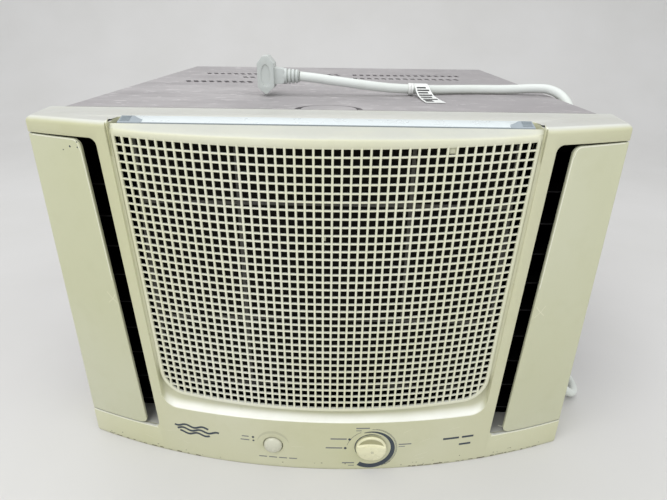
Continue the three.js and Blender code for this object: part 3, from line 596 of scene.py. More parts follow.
# Darker olive for the knob's finger rest: grime and painted shade.
knob_shade = moulded("knob_rest_grime_and_shade", (0.40, 0.385, 0.235), 0.4, grain_depth=0.02, stain=0.1)
grime_and_shadow = moulded("edge_grime_and_shadow", (0.13, 0.115, 0.08), 0.7, stain=0.1)
faint_ink = moulded("worn_ink", (0.20, 0.21, 0.20), 0.5, **NO_STAIN_NO_SHADE)
pearl = moulded(
    "button_plastic", (0.60, 0.595, 0.48), 0.22, grain_depth=0.01, stain=0.04, corner_shade=0.4, specular=0.6,
)
print_ink = moulded("printed_ink", (0.045, 0.058, 0.075), 0.5, **NO_STAIN_NO_SHADE)
label_ink = moulded("label_ink", (0.03, 0.03, 0.03), 0.6, **NO_STAIN_NO_SHADE)
label_white = moulded("label_white", (0.78, 0.79, 0.77), 0.4, stain=0.04, corner_shade=0.1)
cord_grey = moulded("cord_sheath", (0.71, 0.74, 0.71), 0.45, grain=900.0, stain=0.06, corner_shade=0.3)
plug_grey = moulded("plug_plastic", (0.55, 0.58, 0.56), 0.38, grain=1100.0, stain=0.05, corner_shade=0.3)
gland_black = moulded("gland_plastic", (0.03, 0.03, 0.03), 0.5, **NO_STAIN_NO_SHADE)
# Near-black: painted shade for the blower's foam housing seen through the outlets.
foam = moulded("foam", (0.008, 0.008, 0.007), 0.9, grain=260.0, grain_depth=0.5, stain=0.1, specular=0.03)
rubber = moulded("mount_rubber", (0.02, 0.02, 0.021), 0.7, **NO_STAIN_NO_SHADE)
enamel = moulded("compressor_enamel", (0.014, 0.014, 0.016), 0.3, grain=500.0, **NO_STAIN_NO_SHADE, specular=0.6)
cabinet_paint = dusty_paint("cabinet_paint", (0.27, 0.252, 0.258), (0.41, 0.39, 0.39), 0.34)
galvanised = zinc("galvanised_steel")
aluminium = bare_metal("fin_aluminium", (0.62, 0.64, 0.65), (0.34, 0.33, 0.31), 0.35)
copper = bare_metal("copper_tube", (0.72, 0.36, 0.20), (0.28, 0.14, 0.09), 0.3)
steel = bare_metal("machined_steel", (0.55, 0.56, 0.57), (0.30, 0.26, 0.22), 0.28, (1.0, 8.0, 1.0))

# ---------------------------------------------------------------- camera and power cord


def look_through_lens():
    """A camera a little right of the middle, looking down at the front."""
    pitch, yaw, roll = CAMERA_TURN
    ahead = Vector((math.sin(yaw) * math.cos(pitch), math.cos(yaw) * math.cos(pitch), -math.sin(pitch)))
    right = Vector((math.cos(yaw), -math.sin(yaw), 0))
    up = right.cross(ahead)
    turned_right = right * math.cos(roll) + up * math.sin(roll)
    turned_up = up * math.cos(roll) - right * math.sin(roll)
    data = bpy.data.cameras.new("camera")
    data.sensor_width = CAMERA_SENSOR
    data.lens = CAMERA_LENS
    camera = link(bpy.data.objects.new("camera", data))
    turn = Matrix((turned_right, turned_up, -ahead)).transposed()
    camera.matrix_world = Matrix.Translation(CAMERA_PLACE) @ turn.to_4x4()
    bpy.context.scene.camera = camera


GLAND = {"y": 80.0, "z": 30.0, "x0": 238.4, "x1": 256.0}
COIL = {"x": 302.0, "y": 130.0, "radius": 50.0, "turns": 1.75, "rest": 5.0}
PLUG = {"x": -66.0, "y": -71.5, "z": 340.5, "relief": -32.5}
CORD_ROUTE = [
    (252, 98, 5), (253, 70, 5), (256, 40, 5), (261, 10, 5), (267.5, -20, 5), (274.5, -50, 5),
    (280.5, -78, 5), (285, -102, 5), (287, -121, 5), (286, -136, 5.2), (280.5, -148.5, 7),
    (271.5, -155, 13), (262.5, -155.5, 23), (254.8, -152, 36.5), (249, -147, 54),
    (246, -142.4, 75), (244.6, -138.5, 98), (243.8, -135, 124), (243.6, -131, 157),
    (243.6, -126, 195), (243.8, -118, 235), (244.6, -106, 267), (245.8, -91, 292.5), (245.3, -76.5, 310.6),
    (240.4, -61.5, 322), (230.5, -50, 327), (216.5, -44, 327.2), (200.5, -41, 326), (183, -40.2, 325.3),
    (165, -40.2, 325.2), (147, -41.6, 325.2), (130, -44.5, 325.2), (112, -50, 325.4), (95, -57, 326.2),
    (76, -63, 327.4), (58, -66.5, 328.6), (40, -69, 330.6), (20, -70, 333.1), (0, -71, 335.6),
    (-16, -71.5, 337.7), (-32.2, -71.5, 339.3),
]


def cord_points():
    """The lead out of the gland, the wound turns, then the route to the plug."""
    points = [(GLAND["x1"] + 0.6, GLAND["y"], GLAND["z"]), (263, 80, 30), (270, 80, 29)]
    entry = COIL["rest"] + COIL["turns"] * (CORD_DIAMETER + 0.2)
    points.append((286, 79.9, 25.4))
    per_turn = 24
    steps = round(per_turn * COIL["turns"])
    for k in range(steps + 1):
        angle = -math.pi / 2 + 2 * math.pi * k / per_turn
        height = entry + (COIL["rest"] - entry) * k / steps
        x = COIL["x"] + COIL["radius"] * math.cos(angle)
        y = COIL["y"] + COIL["radius"] * math.sin(angle)
        points.append((x, y, height))
    return points + CORD_ROUTE


def merged(pieces):
    """Several shapes as one."""
    whole = Shape()
    for piece in pieces:
        whole.add(piece.points, piece.faces)
    return whole


def plug_shapes():
    """The plug's hexagonal body, neck, ribbed relief and pins."""
    half = {"width": 8.4, "height": 18.6, "flat": 11.5}
    x, y, z = PLUG["x"], PLUG["y"], PLUG["z"]
    hexagon = rounded(
        [
            (x, z - half["height"], 1.6),
            (x + half["width"], z - half["flat"], 2.4),
            (x + half["width"], z + half["flat"], 2.4),
            (x + 2.6, z + half["height"], 0.8),
            (x - 2.6, z + half["height"], 0.8),
            (x - half["width"], z + half["flat"], 2.4),
            (x - half["width"], z - half["flat"], 2.4),
        ],
        5,
    )
    body = start("power_plug_body", Shape().backward(hexagon, y - 11, y + 11))
    dish = [(x + 4.6 * math.cos(a / 16 * math.pi), z + 10.5 * math.sin(a / 16 * math.pi)) for a in range(32)]
    cut(body, Shape().backward(dish, y - 13, y - 10))
    neck = rounded([(x, z - 8.2, 1), (-47.5, z - 8.4, 3), (-47.5, z + 6.4, 3), (x, z + 8.2, 1)], 4)
    join(body, Shape().backward(neck, y - 7.4, y + 7.4))
    soften(body, 0.9, 3, 40)
    give(body, plug_grey, "unit", ["power_plug"], 40)
    relief = Shape()
    profile = [(0.5, -49.0), (7.6, -49.0)]
    for k in range(4):
        along = -47.4 + k * 3.7
        radius = 7.7 - 0.3 * k
        groove = radius - 1.5
        profile += [(radius, along), (radius, along + 2.2), (groove, along + 2.5), (groove, along + 3.4)]
    profile += [(6.4, PLUG["relief"]), (0.5, PLUG["relief"])]
    relief.turned(profile, (0, y, z - 1.2), "x", 32)
    relief_piece = start("power_plug_relief", relief)
    soften(relief_piece, 0.25, 2, 40)
    give(relief_piece, plug_grey, "unit", (), 40)
    pins = Shape()
    for px, pz in ((x, z - 9.5), (x, z + 9.5), (x + 3, z)):
        pins.turned([(0.4, 10.6), (2.4, 10.6), (2.4, 28.6), (1.6, 29.6), (0.4, 29.8)], (px, y, pz), "y", 24)
    pin_piece = cord_piece("power_plug_pins", pins, steel)
    return [body, relief_piece, pin_piece]


def label_ties():
    """Two bands round the lead that hold the tag."""
    ties = Shape()
    for along in (84.5, 81.0):
        centre = [p for p in CORD_PATH if p.z > 320 and abs(p.x - along) < 2.2][0]
        outer = CORD_DIAMETER / 2 + 1.3
        inner = CORD_DIAMETER / 2 + 0.15
        rows = []
        for k in range(28):
            row = []
            for radius, dx in ((outer, -1.3), (outer, 1.3), (inner, 1.3), (inner, -1.3)):
                dy, dz = polar(radius, 2 * math.pi * k / 28)
                row.append((centre.x + dx, centre.y + dy, centre.z + dz))
            rows.append(row)
        ties.loft(rows, closed_path=True)
    return cord_piece("label_ties", ties, label_white, bevel=0.3)


def label_flag():
    """A folded white tag on its ties, with plain bars in place of its text."""
    tie_piece = label_ties()
    drape = [
        (85.5, 99.5, -51.5, 331.2), (86.5, 100.5, -57.5, 331.5), (87.0, 101.5, -63.5, 329.6),
        (87.6, 103.0, -69.5, 325.6), (88.6, 105.0, -79.0, 322.3), (90.0, 108.0, -95.0, 320.9),
        (92.0, 111.0, -114.0, 320.6),
    ]

    def edge(t):
        """The two sides of the tag at a part of its length: over the lead, then flat on the top."""
        place = t * (len(drape) - 1)
        k = min(int(place), len(drape) - 2)
        row = Vector(drape[k]).lerp(Vector(drape[k + 1]), place - k)
        return Vector((row[0], row[2], row[3])), Vector((row[1], row[2], row[3]))

    def band(first, last, margins, lift, thickness, steps):
        rows = []
        for t in spread(first, last, steps):
            left, right = edge(t)
            a, b = left.lerp(right, margins[0]), left.lerp(right, margins[1])
            rise = Vector((0, 0, lift))
            over = Vector((0, 0, thickness))
            rows.append([tuple(p) for p in (a + rise, b + rise, b + rise + over, a + rise + over)])
        return Shape().loft(rows)

    sheet = band(0.0, 1.0, (0.0, 1.0), 0.0, 0.5, 25)
    flag = cord_piece("label_flag", sheet, label_white, crease=60)
    lines = [
        band(t, t + 0.05, (0.1, 0.9 if k % 2 else 0.74), 0.48, 0.14, 2)
        for k, t in enumerate((0.36, 0.45, 0.54, 0.63, 0.72, 0.81))
    ]
    lines.append(band(0.88, 0.96, (0.1, 0.5), 0.48, 0.14, 2))
    bar_piece = cord_piece("label_bars", merged(lines), label_ink)
    return [tie_piece, flag, bar_piece]


def power_cord():
    """The whole lead as one round curve."""
    data = bpy.data.curves.new("mains_cord", "CURVE")
    data.dimensions = "3D"
    data.bevel_depth = CORD_DIAMETER / 2 * MM
    data.bevel_resolution = 5
    data.use_fill_caps = True
    spline = data.splines.new("POLY")
    spline.points.add(len(CORD_PATH) - 1)
    for point, place in zip(spline.points, CORD_PATH):
        point.co = (*(place * MM), 1)
    spline.use_smooth = True
    cord = link(bpy.data.objects.new("mains_cord", data))
    give(cord, cord_grey, "unit", ["cord_lead", "cord_coil", "power_cord"])
    return cord


def strain_relief():
    """The tapered, ribbed sleeve where the cord leaves the cabinet."""
    profile = [(0.5, GLAND["x0"]), (11, GLAND["x0"]), (11, GLAND["x0"] + 2.6), (9.2, GLAND["x0"] + 3.0)]
    for k in range(4):
        along = GLAND["x0"] + 3.4 + k * 3.3
        radius = 9.0 - 0.55 * k
        groove = radius - 1.1
        profile += [(radius, along), (radius, along + 2.4), (groove, along + 2.6), (groove, along + 3.1)]
    profile += [(6.1, 255.0), (6.1, GLAND["x1"]), (0.5, GLAND["x1"])]
    piece = start("strain_relief_sleeve", Shape().turned(profile, (0, GLAND["y"], GLAND["z"]), "x", 40))
    soften(piece, 0.25, 2, 40)
    give(piece, gland_black, "unit", ["strain_relief"], 40)


look_through_lens()
CORD_PATH = smooth_path(cord_points())
strain_relief()
cord = power_cord()
plug_shapes() + label_flag()

# ---------------------------------------------------------------- front panel

# Each outline of the grille's recess: half widths at two heights, lowest height, corner radius.
RECESS_EDGE = {"top": 163.2, "low": 152.9, "bottom": 57.6, "radius": 15.0}
RECESS_FLOOR = {"top": 161.0, "low": 150.9, "bottom": 71.0, "radius": 22.0}
BORDER_EDGE = {"top": 161.4, "low": 151.4, "bottom": 70.0, "radius": 22.5}
CELL_EDGE = {"top": 157.9, "low": 147.4, "bottom": 74.1, "radius": 19.0}
HEIGHT_TOP = 310.0
HEIGHT_LOW = 88.0


def blend_outlines(first, second, amount):
    return {key: first[key] + (second[key] - first[key]) * amount for key in first}


def grown(outline, by):
    """An outline moved outwards by a distance, with the same corner radius."""
    wider = {key: outline[key] + by for key in ("top", "low")}
    return {**outline, **wider, "bottom": outline["bottom"] - by}


def side_x(outline, z):
    """Half width of a recess outline at a height, without its rounded corner."""
    t = (z - HEIGHT_LOW) / (HEIGHT_TOP - HEIGHT_LOW)
    return outline["low"] + (outline["top"] - outline["low"]) * t


def recess_path(outline, top, side_steps=16, corner_steps=10, bottom_steps=44):
    """Points in (x, z) down the right side, round the corner, along the bottom and up again."""
    slope = (outline["top"] - outline["low"]) / (HEIGHT_TOP - HEIGHT_LOW)
    lean = math.atan(slope)
    radius = outline["radius"]
    centre_z = outline["bottom"] + radius
    centre_x = side_x(outline, centre_z) - radius / math.cos(lean)
    touch = (centre_x + radius * math.cos(lean), centre_z - radius * math.sin(lean))
    right = []
    for z in spread(top, touch[1], side_steps + 1)[:-1]:
        right.append((side_x(outline, z), z))
    right += arc((centre_x, centre_z), radius, -lean, -math.pi / 2, corner_steps)
    middle = [(x, outline["bottom"]) for x in spread(centre_x, -centre_x, bottom_steps + 1)[1:-1]]
    left = [(-x, z) for x, z in reversed(right)]
    return right + middle + left


def sag(x, z):
    """How much higher the grille's rows stand at a distance from the middle."""
    t = (z - HEIGHT_LOW) / (HEIGHT_TOP - HEIGHT_LOW)
    return (2.9 - 0.8 * t) * (x / 140) ** 2


def grille_y(x, back):
    """Depth of a point behind the grille's face, which is a little flatter than the panel's."""
    return bow_y(x, 0.7 + 1.6 * (x / 140) ** 2 + back)


def outlet_outline(side):
    """The opening in (x, z) on one side that a door and its vanes stand in."""
    return [
        (side * SLOT_INNER_LOW, SLOT_BOTTOM, 5.0),
        (side * (PANEL_HALF_WIDTH + 8), SLOT_BOTTOM),
        (side * (PANEL_HALF_WIDTH + 8), SLOT_TOP),
        (side * SLOT_INNER_TOP, SLOT_TOP, 6.0),
    ]


def top_fall(y):
    """How far the panel's top has dropped at a distance behind its front corner."""
    return TOP_FALL * max(0.0, y - CORNER_Y + 6) / (PANEL_REAR_Y - CORNER_Y + 6)


def panel_shell():
    """The bowed front with its rounded foot and top, hollowed and cut open."""
    levels = []
    for sine, cosine in quarter_turn(4):
        inset, side_inset = FOOT_RADIUS * (1 - sine), FOOT_SIDE_RADIUS * (1 - sine)
        levels.append((inset, side_inset, FOOT_SIDE_RADIUS * (1 - cosine)))
    for sine, cosine in quarter_turn(8):
        inset = TOP_RADIUS * (1 - cosine)
        levels.append((inset, inset, PANEL_HEIGHT - TOP_RADIUS * (1 - sine)))
    rings = []
    for inset, side_inset, z in levels:
        plan = panel_plan(inset, PANEL_REAR_Y, side_inset)
        rings.append([(x, y, z - (top_fall(y) if z > 300 else 0.0)) for x, y in plan])
    panel = start("front_panel_shell", Shape().loft(rings))
    cut(panel, Shape().upright(panel_plan(WALL, PANEL_REAR_Y + 1), WALL, PANEL_HEIGHT - WALL - TOP_FALL))
    for side in SIDES.values():
        cut(panel, Shape().backward(rounded(outlet_outline(side)), FRONT_Y - 5, CORNER_Y + 9))
    half = side_x(RECESS_EDGE, WELL_FLOOR) - 0.45
    rear = FILTER_SLOT_REAR_Y
    well = rounded([(-half, -280), (half, -280), (half, rear, 6), (-half, rear, 6)])
    cut(panel, Shape().upright(well, WELL_FLOOR, PANEL_HEIGHT + 5))
    holes = Shape()
    for (x, z), radius in ((SELECTOR, 4.6), (BUTTON, 9.2)):
        holes.turned([(radius, FRONT_Y - 5), (radius, FRONT_Y + 20)], (x, 0, z), "y", 40)
    cut(panel, holes)
    tidy(panel, 0.3)
    soften(panel, 0.8, 2, 40, clamp=False)
    edge = recess_path(RECESS_EDGE, PANEL_HEIGHT + 5, bottom_steps=2)
    cut(panel, Shape().backward(edge, FRONT_Y - 5, CORNER_Y - 12))
    give(panel, cream, "unit", ["front_panel"], 30)


def recess_well():
    """The walls round the filter's top strip, behind the grille."""
    inner = side_x(RECESS_EDGE, WELL_FLOOR) - 0.55
    half = inner + 1.7
    rear = FILTER_SLOT_REAR_Y
    left = [(-half, rear + 1.6, 7), (-half, CORNER_Y - 21), (-inner, CORNER_Y - 23), (-inner, rear, 6)]
    outline = rounded(left + [(-corner[0], *corner[1:]) for corner in reversed(left)])
    walls = Shape().upright(outline, 296, PANEL_HEIGHT - 1.1)
    panel_piece("recess_well", walls, cream, bevel=0.3)


def panel_ducts():
    """The dark ducts behind the outlets, with a rack that carries the vanes."""
    wall = 2.5
    floor, ceiling = (SLOT_BOTTOM - wall, SLOT_BOTTOM), (SLOT_TOP, SLOT_TOP + wall)
    mouth = (CORNER_Y + 9.2, DUCT_REAR_Y)
    for word, side in SIDES.items():
        inner = [
            (side * SLOT_INNER_LOW, SLOT_BOTTOM),
            (side * SLOT_INNER_TOP, SLOT_TOP),
            (side * (SLOT_INNER_TOP - wall), SLOT_TOP),
            (side * (SLOT_INNER_LOW - wall), SLOT_BOTTOM),
        ]
        duct = Shape().backward(inner, bow_y(170) + 4.2, DUCT_REAR_Y)
        duct.side_box(side, (SLOT_INNER_LOW, RACK["x1"]), mouth, floor)
        duct.side_box(side, (SLOT_INNER_TOP, RACK["x1"]), mouth, ceiling)
        rack_y = (RACK["y0"], RACK["y1"])
        duct.side_box(side, (RACK["x0"], RACK["x1"]), rack_y, (SLOT_BOTTOM + 0.1, SLOT_TOP - 0.1))
        dark_piece(f"{word}_duct", duct, black, bevel=0.4)
        shelf = Shape()
        for z0, z1 in (floor, ceiling):
            inner_x = SLOT_INNER_LOW if z0 < 100 else SLOT_INNER_TOP
            outline = [(side * x, bow_y(x, 3.2)) for x in spread(inner_x, PANEL_HALF_WIDTH - 3.4, 12)]
            outline += [(side * (PANEL_HALF_WIDTH - 3.4), CORNER_Y + 9), (side * inner_x, CORNER_Y + 9)]
            shelf.upright(outline, z0, z1)
        panel_piece(f"{word}_outlet_shelf", shelf, cream)


def recess_cove():
    """The scooped band between the panel's face and the grille's border."""
    profile = [
        (0.0, 0.02), (0.02, 0.25), (0.045, 0.9), (0.07, 1.9), (0.12, 3.6), (0.2, 5.2), (0.32, 6.8),
        (0.48, 7.8), (0.68, 8.4), (0.88, 8.7), (1.06, 8.8), (1.06, 10.4), (0.0, 10.4),
    ]
    columns = []
    for u, inset in profile:
        outline = blend_outlines(RECESS_EDGE, RECESS_FLOOR, u)
        column = []
        path = recess_path(outline, 316.9)
        tops = [(side_x(outline, z), z) for z in (321.7, 321.2, 320.4, 319.4, 318.2)]
        for x, z in tops + path + [(-x, z) for x, z in reversed(tops)]:
            above = max(0.0, z - (PANEL_HEIGHT - TOP_RADIUS))
            fillet = TOP_RADIUS - math.sqrt(TOP_RADIUS**2 - above**2)
            rise = min(1.0, max(0.0, (z - 68.0) / 38.0))
            depth = 1.0 - 0.72 * rise * rise * (3 - 2 * rise)
            column.append((x, bow_y(x, inset * depth + fillet), z + u * sag(x, z)))
        columns.append(column)
    shape = from_columns(columns)
    panel_piece("recess_cove", shape, cove_cream, crease=40)


panel_shell()
recess_well()
panel_ducts()
recess_cove()

# ---------------------------------------------------------------- intake grille

COLUMNS = 46
ROWS = 35
ROW_PITCH = 6.738
TOP_ROW = 309.1
UPRIGHT = 1.7
RUNG = 1.52


def column_x(column, z):
    """The columns fan out upwards, as the sides of the grille do."""
    t = (z - HEIGHT_LOW) / (HEIGHT_TOP - HEIGHT_LOW)
    half = CELL_EDGE["low"] + (CELL_EDGE["top"] - CELL_EDGE["low"]) * t + UPRIGHT / 2
    return half * (2 * column / COLUMNS - 1)


def cell_limit_x(z):
    """Half width of the lattice at a height, inside its rounded lower corners."""
    radius = CELL_EDGE["radius"]
    centre_z = CELL_EDGE["bottom"] + radius
    if z >= centre_z:
        return side_x(CELL_EDGE, z)
    reach = max(radius**2 - (centre_z - z) ** 2, 0.0)
    return side_x(CELL_EDGE, centre_z) - radius + math.sqrt(reach)


def grille_lattice():
    """The uprights and the rungs that make the grille's cells."""
    tuck = 0.7
    bars = Shape()
    half = UPRIGHT / 2
    section = [(-half, 1.7), (-half, 0.45), (-half + 0.4, 0.0), (half - 0.4, 0.0), (half, 0.45), (half, 1.7)]
    for column in range(COLUMNS + 1):
        low = CELL_EDGE["bottom"]
        while low < TOP_ROW and abs(column_x(column, low)) > cell_limit_x(low):
            low += 0.5
        if low > TOP_ROW - 4:
            continue
        rows = []
        for z in spread(low - tuck, TOP_ROW + tuck, 9):
            x = column_x(column, z)
            rows.append([(x + dx, grille_y(x, back), z + sag(x, z)) for dx, back in section])
        bars.loft(rows)
    grille_piece("grille_uprights", bars, grille_cream, crease=50)
    rungs = Shape()
    half = RUNG / 2
    section = [
        (2.0, -half), (0.75, -half), (0.35, -half + 0.4), (0.35, half - 0.4), (0.75, half), (2.0, half),
    ]
    for row in range(ROWS + 1):
        z = TOP_ROW - row * ROW_PITCH
        reach = cell_limit_x(z) + tuck
        rows = []
        for x in spread(-reach, reach, 57):
            rows.append([(x, grille_y(x, back), z + dz + sag(x, z)) for back, dz in section])
        rungs.loft(rows)
    grille_piece("grille_rungs", rungs, grille_cream, crease=50)


def grille_border():
    """The grille's frame round the lattice."""
    width = CELL_EDGE["bottom"] - BORDER_EDGE["bottom"]
    profile = [
        (width, 1.9), (width, 0.6), (width - 0.4, 0.0), (1.5, 0.0), (0.7, 0.25), (0.2, 0.8), (0.0, 1.6),
        (0.0, 8.0), (1.5, 8.0), (1.5, 1.9),
    ]
    columns = []
    for from_outer, back in profile:
        outline = blend_outlines(BORDER_EDGE, CELL_EDGE, from_outer / width)
        path = recess_path(outline, TOP_ROW + 5)
        columns.append([(x, grille_y(x, back), z + sag(x, z)) for x, z in path])
    shape = from_columns(columns)
    grille_piece("grille_border", shape, grille_cream, ["intake_grille"], crease=40)


def grille_liner():
    """The dark wall round the intake, and the flange behind the filter's edge."""
    outer, inner = grown(CELL_EDGE, 1.2), grown(CELL_EDGE, 0.2)
    flange = {"top": 148.0, "low": 147.0, "bottom": 79.0, "radius": 14.0}
    rings = []
    for outline, back, rear in (
        (outer, 2.0, None), (inner, 1.9, None), (inner, 0, LINER_REAR_Y), (outer, 0, LINER_REAR_Y),
    ):
        path = recess_path(outline, TOP_ROW + 3)
        rings.append([(x, rear or grille_y(x, back), z + sag(x, z)) for x, z in path])
    wall = from_columns(rings)
    # The liner's black is painted shade round the intake.
    dark_piece("grille_liner", wall, black, crease=50)
    rings = []
    front, rear_y = LEDGE_Y
    for outline, y in ((outer, front), (flange, front), (flange, rear_y), (outer, rear_y)):
        rings.append([(x, y, z) for x, z in recess_path(outline, TOP_ROW + 3)])
    ledge = from_columns(rings)
    dark_piece("filter_ledge", ledge, black, crease=50)


def grille_top_bar():
    """The lattice's upper rail, whose rounded top rises to the filter's strip."""
    reach = 161.6
    edge_z, rear_z = 314.2, 320.1
    rows = []
    for x in spread(-reach, reach, 65):
        face = grille_y(x, 0.0)
        under = TOP_ROW + sag(x, TOP_ROW) + 0.3
        ring = [(x, face + 4, under - 0.4), (x, face + 0.5, under - 0.4), (x, face, under + 0.2)]
        deep = max(GRILLE_RETURN_REAR_Y - face, 2.2)
        handles = [(0.0, edge_z), (0.0, edge_z + 2.9), (min(4.0, deep * 0.4), edge_z + 3.1), (deep, rear_z)]
        for k in range(13):
            t = k / 12
            weights = ((1 - t) ** 3, 3 * t * (1 - t) ** 2, 3 * t * t * (1 - t), t**3)
            along = sum(w * h[0] for w, h in zip(weights, handles))
            height = sum(w * h[1] for w, h in zip(weights, handles))
            ring.append((x, face + along, height))
        ring += [(x, face + deep, rear_z - 5), (x, face + 4.2, under + 1)]
        rows.append(ring)
    grille_piece("grille_top_bar", Shape().loft(rows), grille_cream, crease=40)


grille_lattice()
grille_border()
grille_liner()
grille_top_bar()

# ---------------------------------------------------------------- air filter


def air_filter():
    """The frame with its windows, the dark mesh in it, and two small tabs in front of it."""
    half_width, z0, z1 = 150.0, 66.0, 314.0
    y0, y1 = FILTER_Y
    frame_piece = start("air_filter_frame", Shape().box((-half_width, half_width), (y0, y1), (z0, z1)))
    columns = [(-146, -70.5), (-67.5, 67.5), (70.5, 146)]
    rows = [(70, 75), (77.6, 147.6), (150.4, 255.6), (258.4, 310)]
    windows = Shape()
    for x0, x1 in columns:
        for low, high in rows:
            windows.box((x0, x1), (y0 - 1, y1 + 1), (low, high))
    cut(frame_piece, windows)
    soften(frame_piece, 0.4, 2)
    give(frame_piece, filter_frame, "air_filter", ["air_filter"])
    mesh = Shape().box((-147, 147), (-229.4, -228.8), (68, 312))
    filter_piece("air_filter_mesh", mesh, filter_mesh)
    gussets = Shape()
    gussets.across([(-232.2, 229.2), (-232.2, 225.6), (-230.8, 225.6), (-230.8, 229.2)], -2.4, 1.2)
    gussets.across([(-251, 309.4), (-251, 304.6), (-249, 303.9), (-249, 309.4)], 90.2, 96.2)
    filter_piece("air_filter_tabs", gussets, grille_cream, bevel=0.3)


def filter_strip_top():
    """The strip that a hand pulls the filter out by, flush between the grille and the panel."""
    front, rear = GRILLE_RETURN_REAR_Y + 0.9, FILTER_SLOT_REAR_Y - 0.3

    def lifted(outline):
        """Raises the rear of a prism, so the strip leans as the grille's top does."""
        shape = Shape().backward(outline, front, rear)
        shape.points = [(x, y, z + 0.065 * (y - front)) for x, y, z in shape.points]
        return shape

    strip = lifted([(-155.6, 317.2), (155.6, 317.2), (155.6, 320.7), (-155.6, 320.7)])
    filter_piece("air_filter_strip", strip, filter_strip, bevel=0.5, segments=3)
    # A blue-grey line at the strip's front edge: a painted shadow of the gap there.
    lip = Shape().box((-138.6, 138.6), (front - 0.3, front + 0.4), (319.8, 320.9))
    filter_piece("air_filter_strip_shadow_line", lip, filter_plastic, bevel=0.15)
    base, depth = 320.75, 9.5
    profile = [
        (155.9, 2.3), (155.4, 3.1), (146.4, 3.1), (145.2, 2.7), (143.8, 1.8), (142.2, 1.0),
        (140.4, 0.45), (138.2, 0.1),
    ]
    for word, side in SIDES.items():
        rows = []
        for x, height in profile:
            section = [
                (front - 0.2, 317.6), (front - 0.2, base), (front + 0.2, base + 0.25),
                (front + depth, base + 0.25 + height), (front + depth + 1.2, base + height),
                (front + depth + 2.4, base + height * 0.4), (front + depth + 2.6, 317.6),
            ]
            rows.append([(side * x, y, z) for y, z in section])
        grip = Shape().loft(rows)
        filter_piece(f"{word}_filter_grip", grip, filter_plastic, bevel=0.2, crease=45)
        ribs = Shape()
        for k in range(4):
            t = 0.16 + k * 0.22
            y, z = front + depth * t, base + 0.25 + 3.1 * t
            ribs.side_box(side, (147.2, 154.4), (y, y + 0.9), (z - 0.3, z + 0.7))
        filter_piece(f"{word}_filter_grip_ribs", ribs, filter_plastic, bevel=0.15)


air_filter()
filter_strip_top()

# ---------------------------------------------------------------- doors and vanes


def air_door(word, side):
    """A bowed leaf with rounded edges, swept from its inner edge round the panel's corner."""
    low, high_inner, high_outer = SLOT_BOTTOM + 1.0, SLOT_TOP - 1.7, SLOT_TOP - 0.9
    corner_x = PANEL_HALF_WIDTH - 2.6
    edge, corner = 0.6, 6.0

    def inner_x(z):
        widening = DOOR_INNER_TOP - DOOR_INNER_LOW
        return DOOR_INNER_LOW + widening * (z - SLOT_BOTTOM) / (SLOT_TOP - SLOT_BOTTOM)

    span = corner_x - DOOR_INNER_TOP
    stations = [(s, 0.0) for s in (0.0, 0.12, 0.35, 0.9, 1.6, 2.4, 3.4, 4.6, 6.0, 9.0)]
    stations += [(s, 0.0) for s in spread(12.0, span, 6)]
    stations += [(span, turn) for turn in (20, 40, 60, 75)]
    stations += [(span, 90.0), (span, 91.0)]
    rows = []
    for travelled, turn in stations:
        near = max(0.0, corner - travelled)
        trim = corner - math.sqrt(corner**2 - near**2)
        lip = max(0.0, edge - travelled)
        drop = edge - math.sqrt(edge**2 - lip**2)
        high = high_inner + (high_outer - high_inner) * travelled / span
        z0, z1 = low + trim, high - trim
        section = [(z0, WALL)]
        for sine, cosine in quarter_turn(3):
            section.append((z0 + edge * (1 - cosine), drop + (edge - drop) * (1 - sine)))
        for sine, cosine in quarter_turn(3):
            section.append((z1 - edge * (1 - sine), drop + (edge - drop) * (1 - cosine)))
        section.append((z1, WALL))
        ring = []
        for z, back in section:
            x = inner_x(z) + (corner_x - inner_x(z)) * travelled / span
            if not turn:
                ring.append((side * x, bow_y(x, back), z))
                continue
            angle = math.radians(min(turn, 90.0)) * 0.8
            radius = 2.6 - min(back, 2.2)
            rear = 5.2 if turn > 90 else 0.0
            x = corner_x + radius * math.sin(angle) + rear * 0.18
            y = bow_y(corner_x) + 2.6 - radius * math.cos(angle) + rear + (0.0 if back < 2.2 else 0.6)
            ring.append((side * min(x, PANEL_HALF_WIDTH + 0.5), y, z))
        rows.append(ring)
    door = start(f"{word}_door_leaf", Shape().loft(rows))
    give(door, door_cream, f"{word}_air_door", [f"{word}_air_door"], 35)
    pins = Shape().turned(
        [
            (0.4, low - 2.8), (2, low - 2.8), (2, low + 0.2), (3.4, low + 0.3), (3.4, high_outer - 0.3),
            (2, high_outer - 0.2), (2, high_outer + 2.8), (0.4, high_outer + 2.8),
        ],
        (side * DOOR_AXIS[0], DOOR_AXIS[1], 0), "z", 24,
    )
    make(f"{word}_door_pin", pins, door_cream, f"{word}_air_door", "panel_plastic")


def ink_line(points, width, proud=0.06):
    """A thin band of ink or a scratch on the bow, through points in (x, z)."""
    rows = []
    for i, (x, z) in enumerate(points):
        ahead = Vector(points[min(i + 1, len(points) - 1)]) - Vector(points[max(i - 1, 0)])
        across = Vector((-ahead.y, ahead.x)).normalized() * width / 2
        ring = []
        for sign, inset in ((-1, 0.05), (1, 0.05), (1, -proud), (-1, -proud)):
            px, pz = x + sign * across.x, z + sign * across.y
            ring.append((px, bow_y(px, inset), pz))
        rows.append(ring)
    return Shape().loft(rows)


def ink_bar(x, z, length, width):
    """A level bar of ink from its left end."""
    return ink_line([(x + length * k / 4, z) for k in range(5)], width)


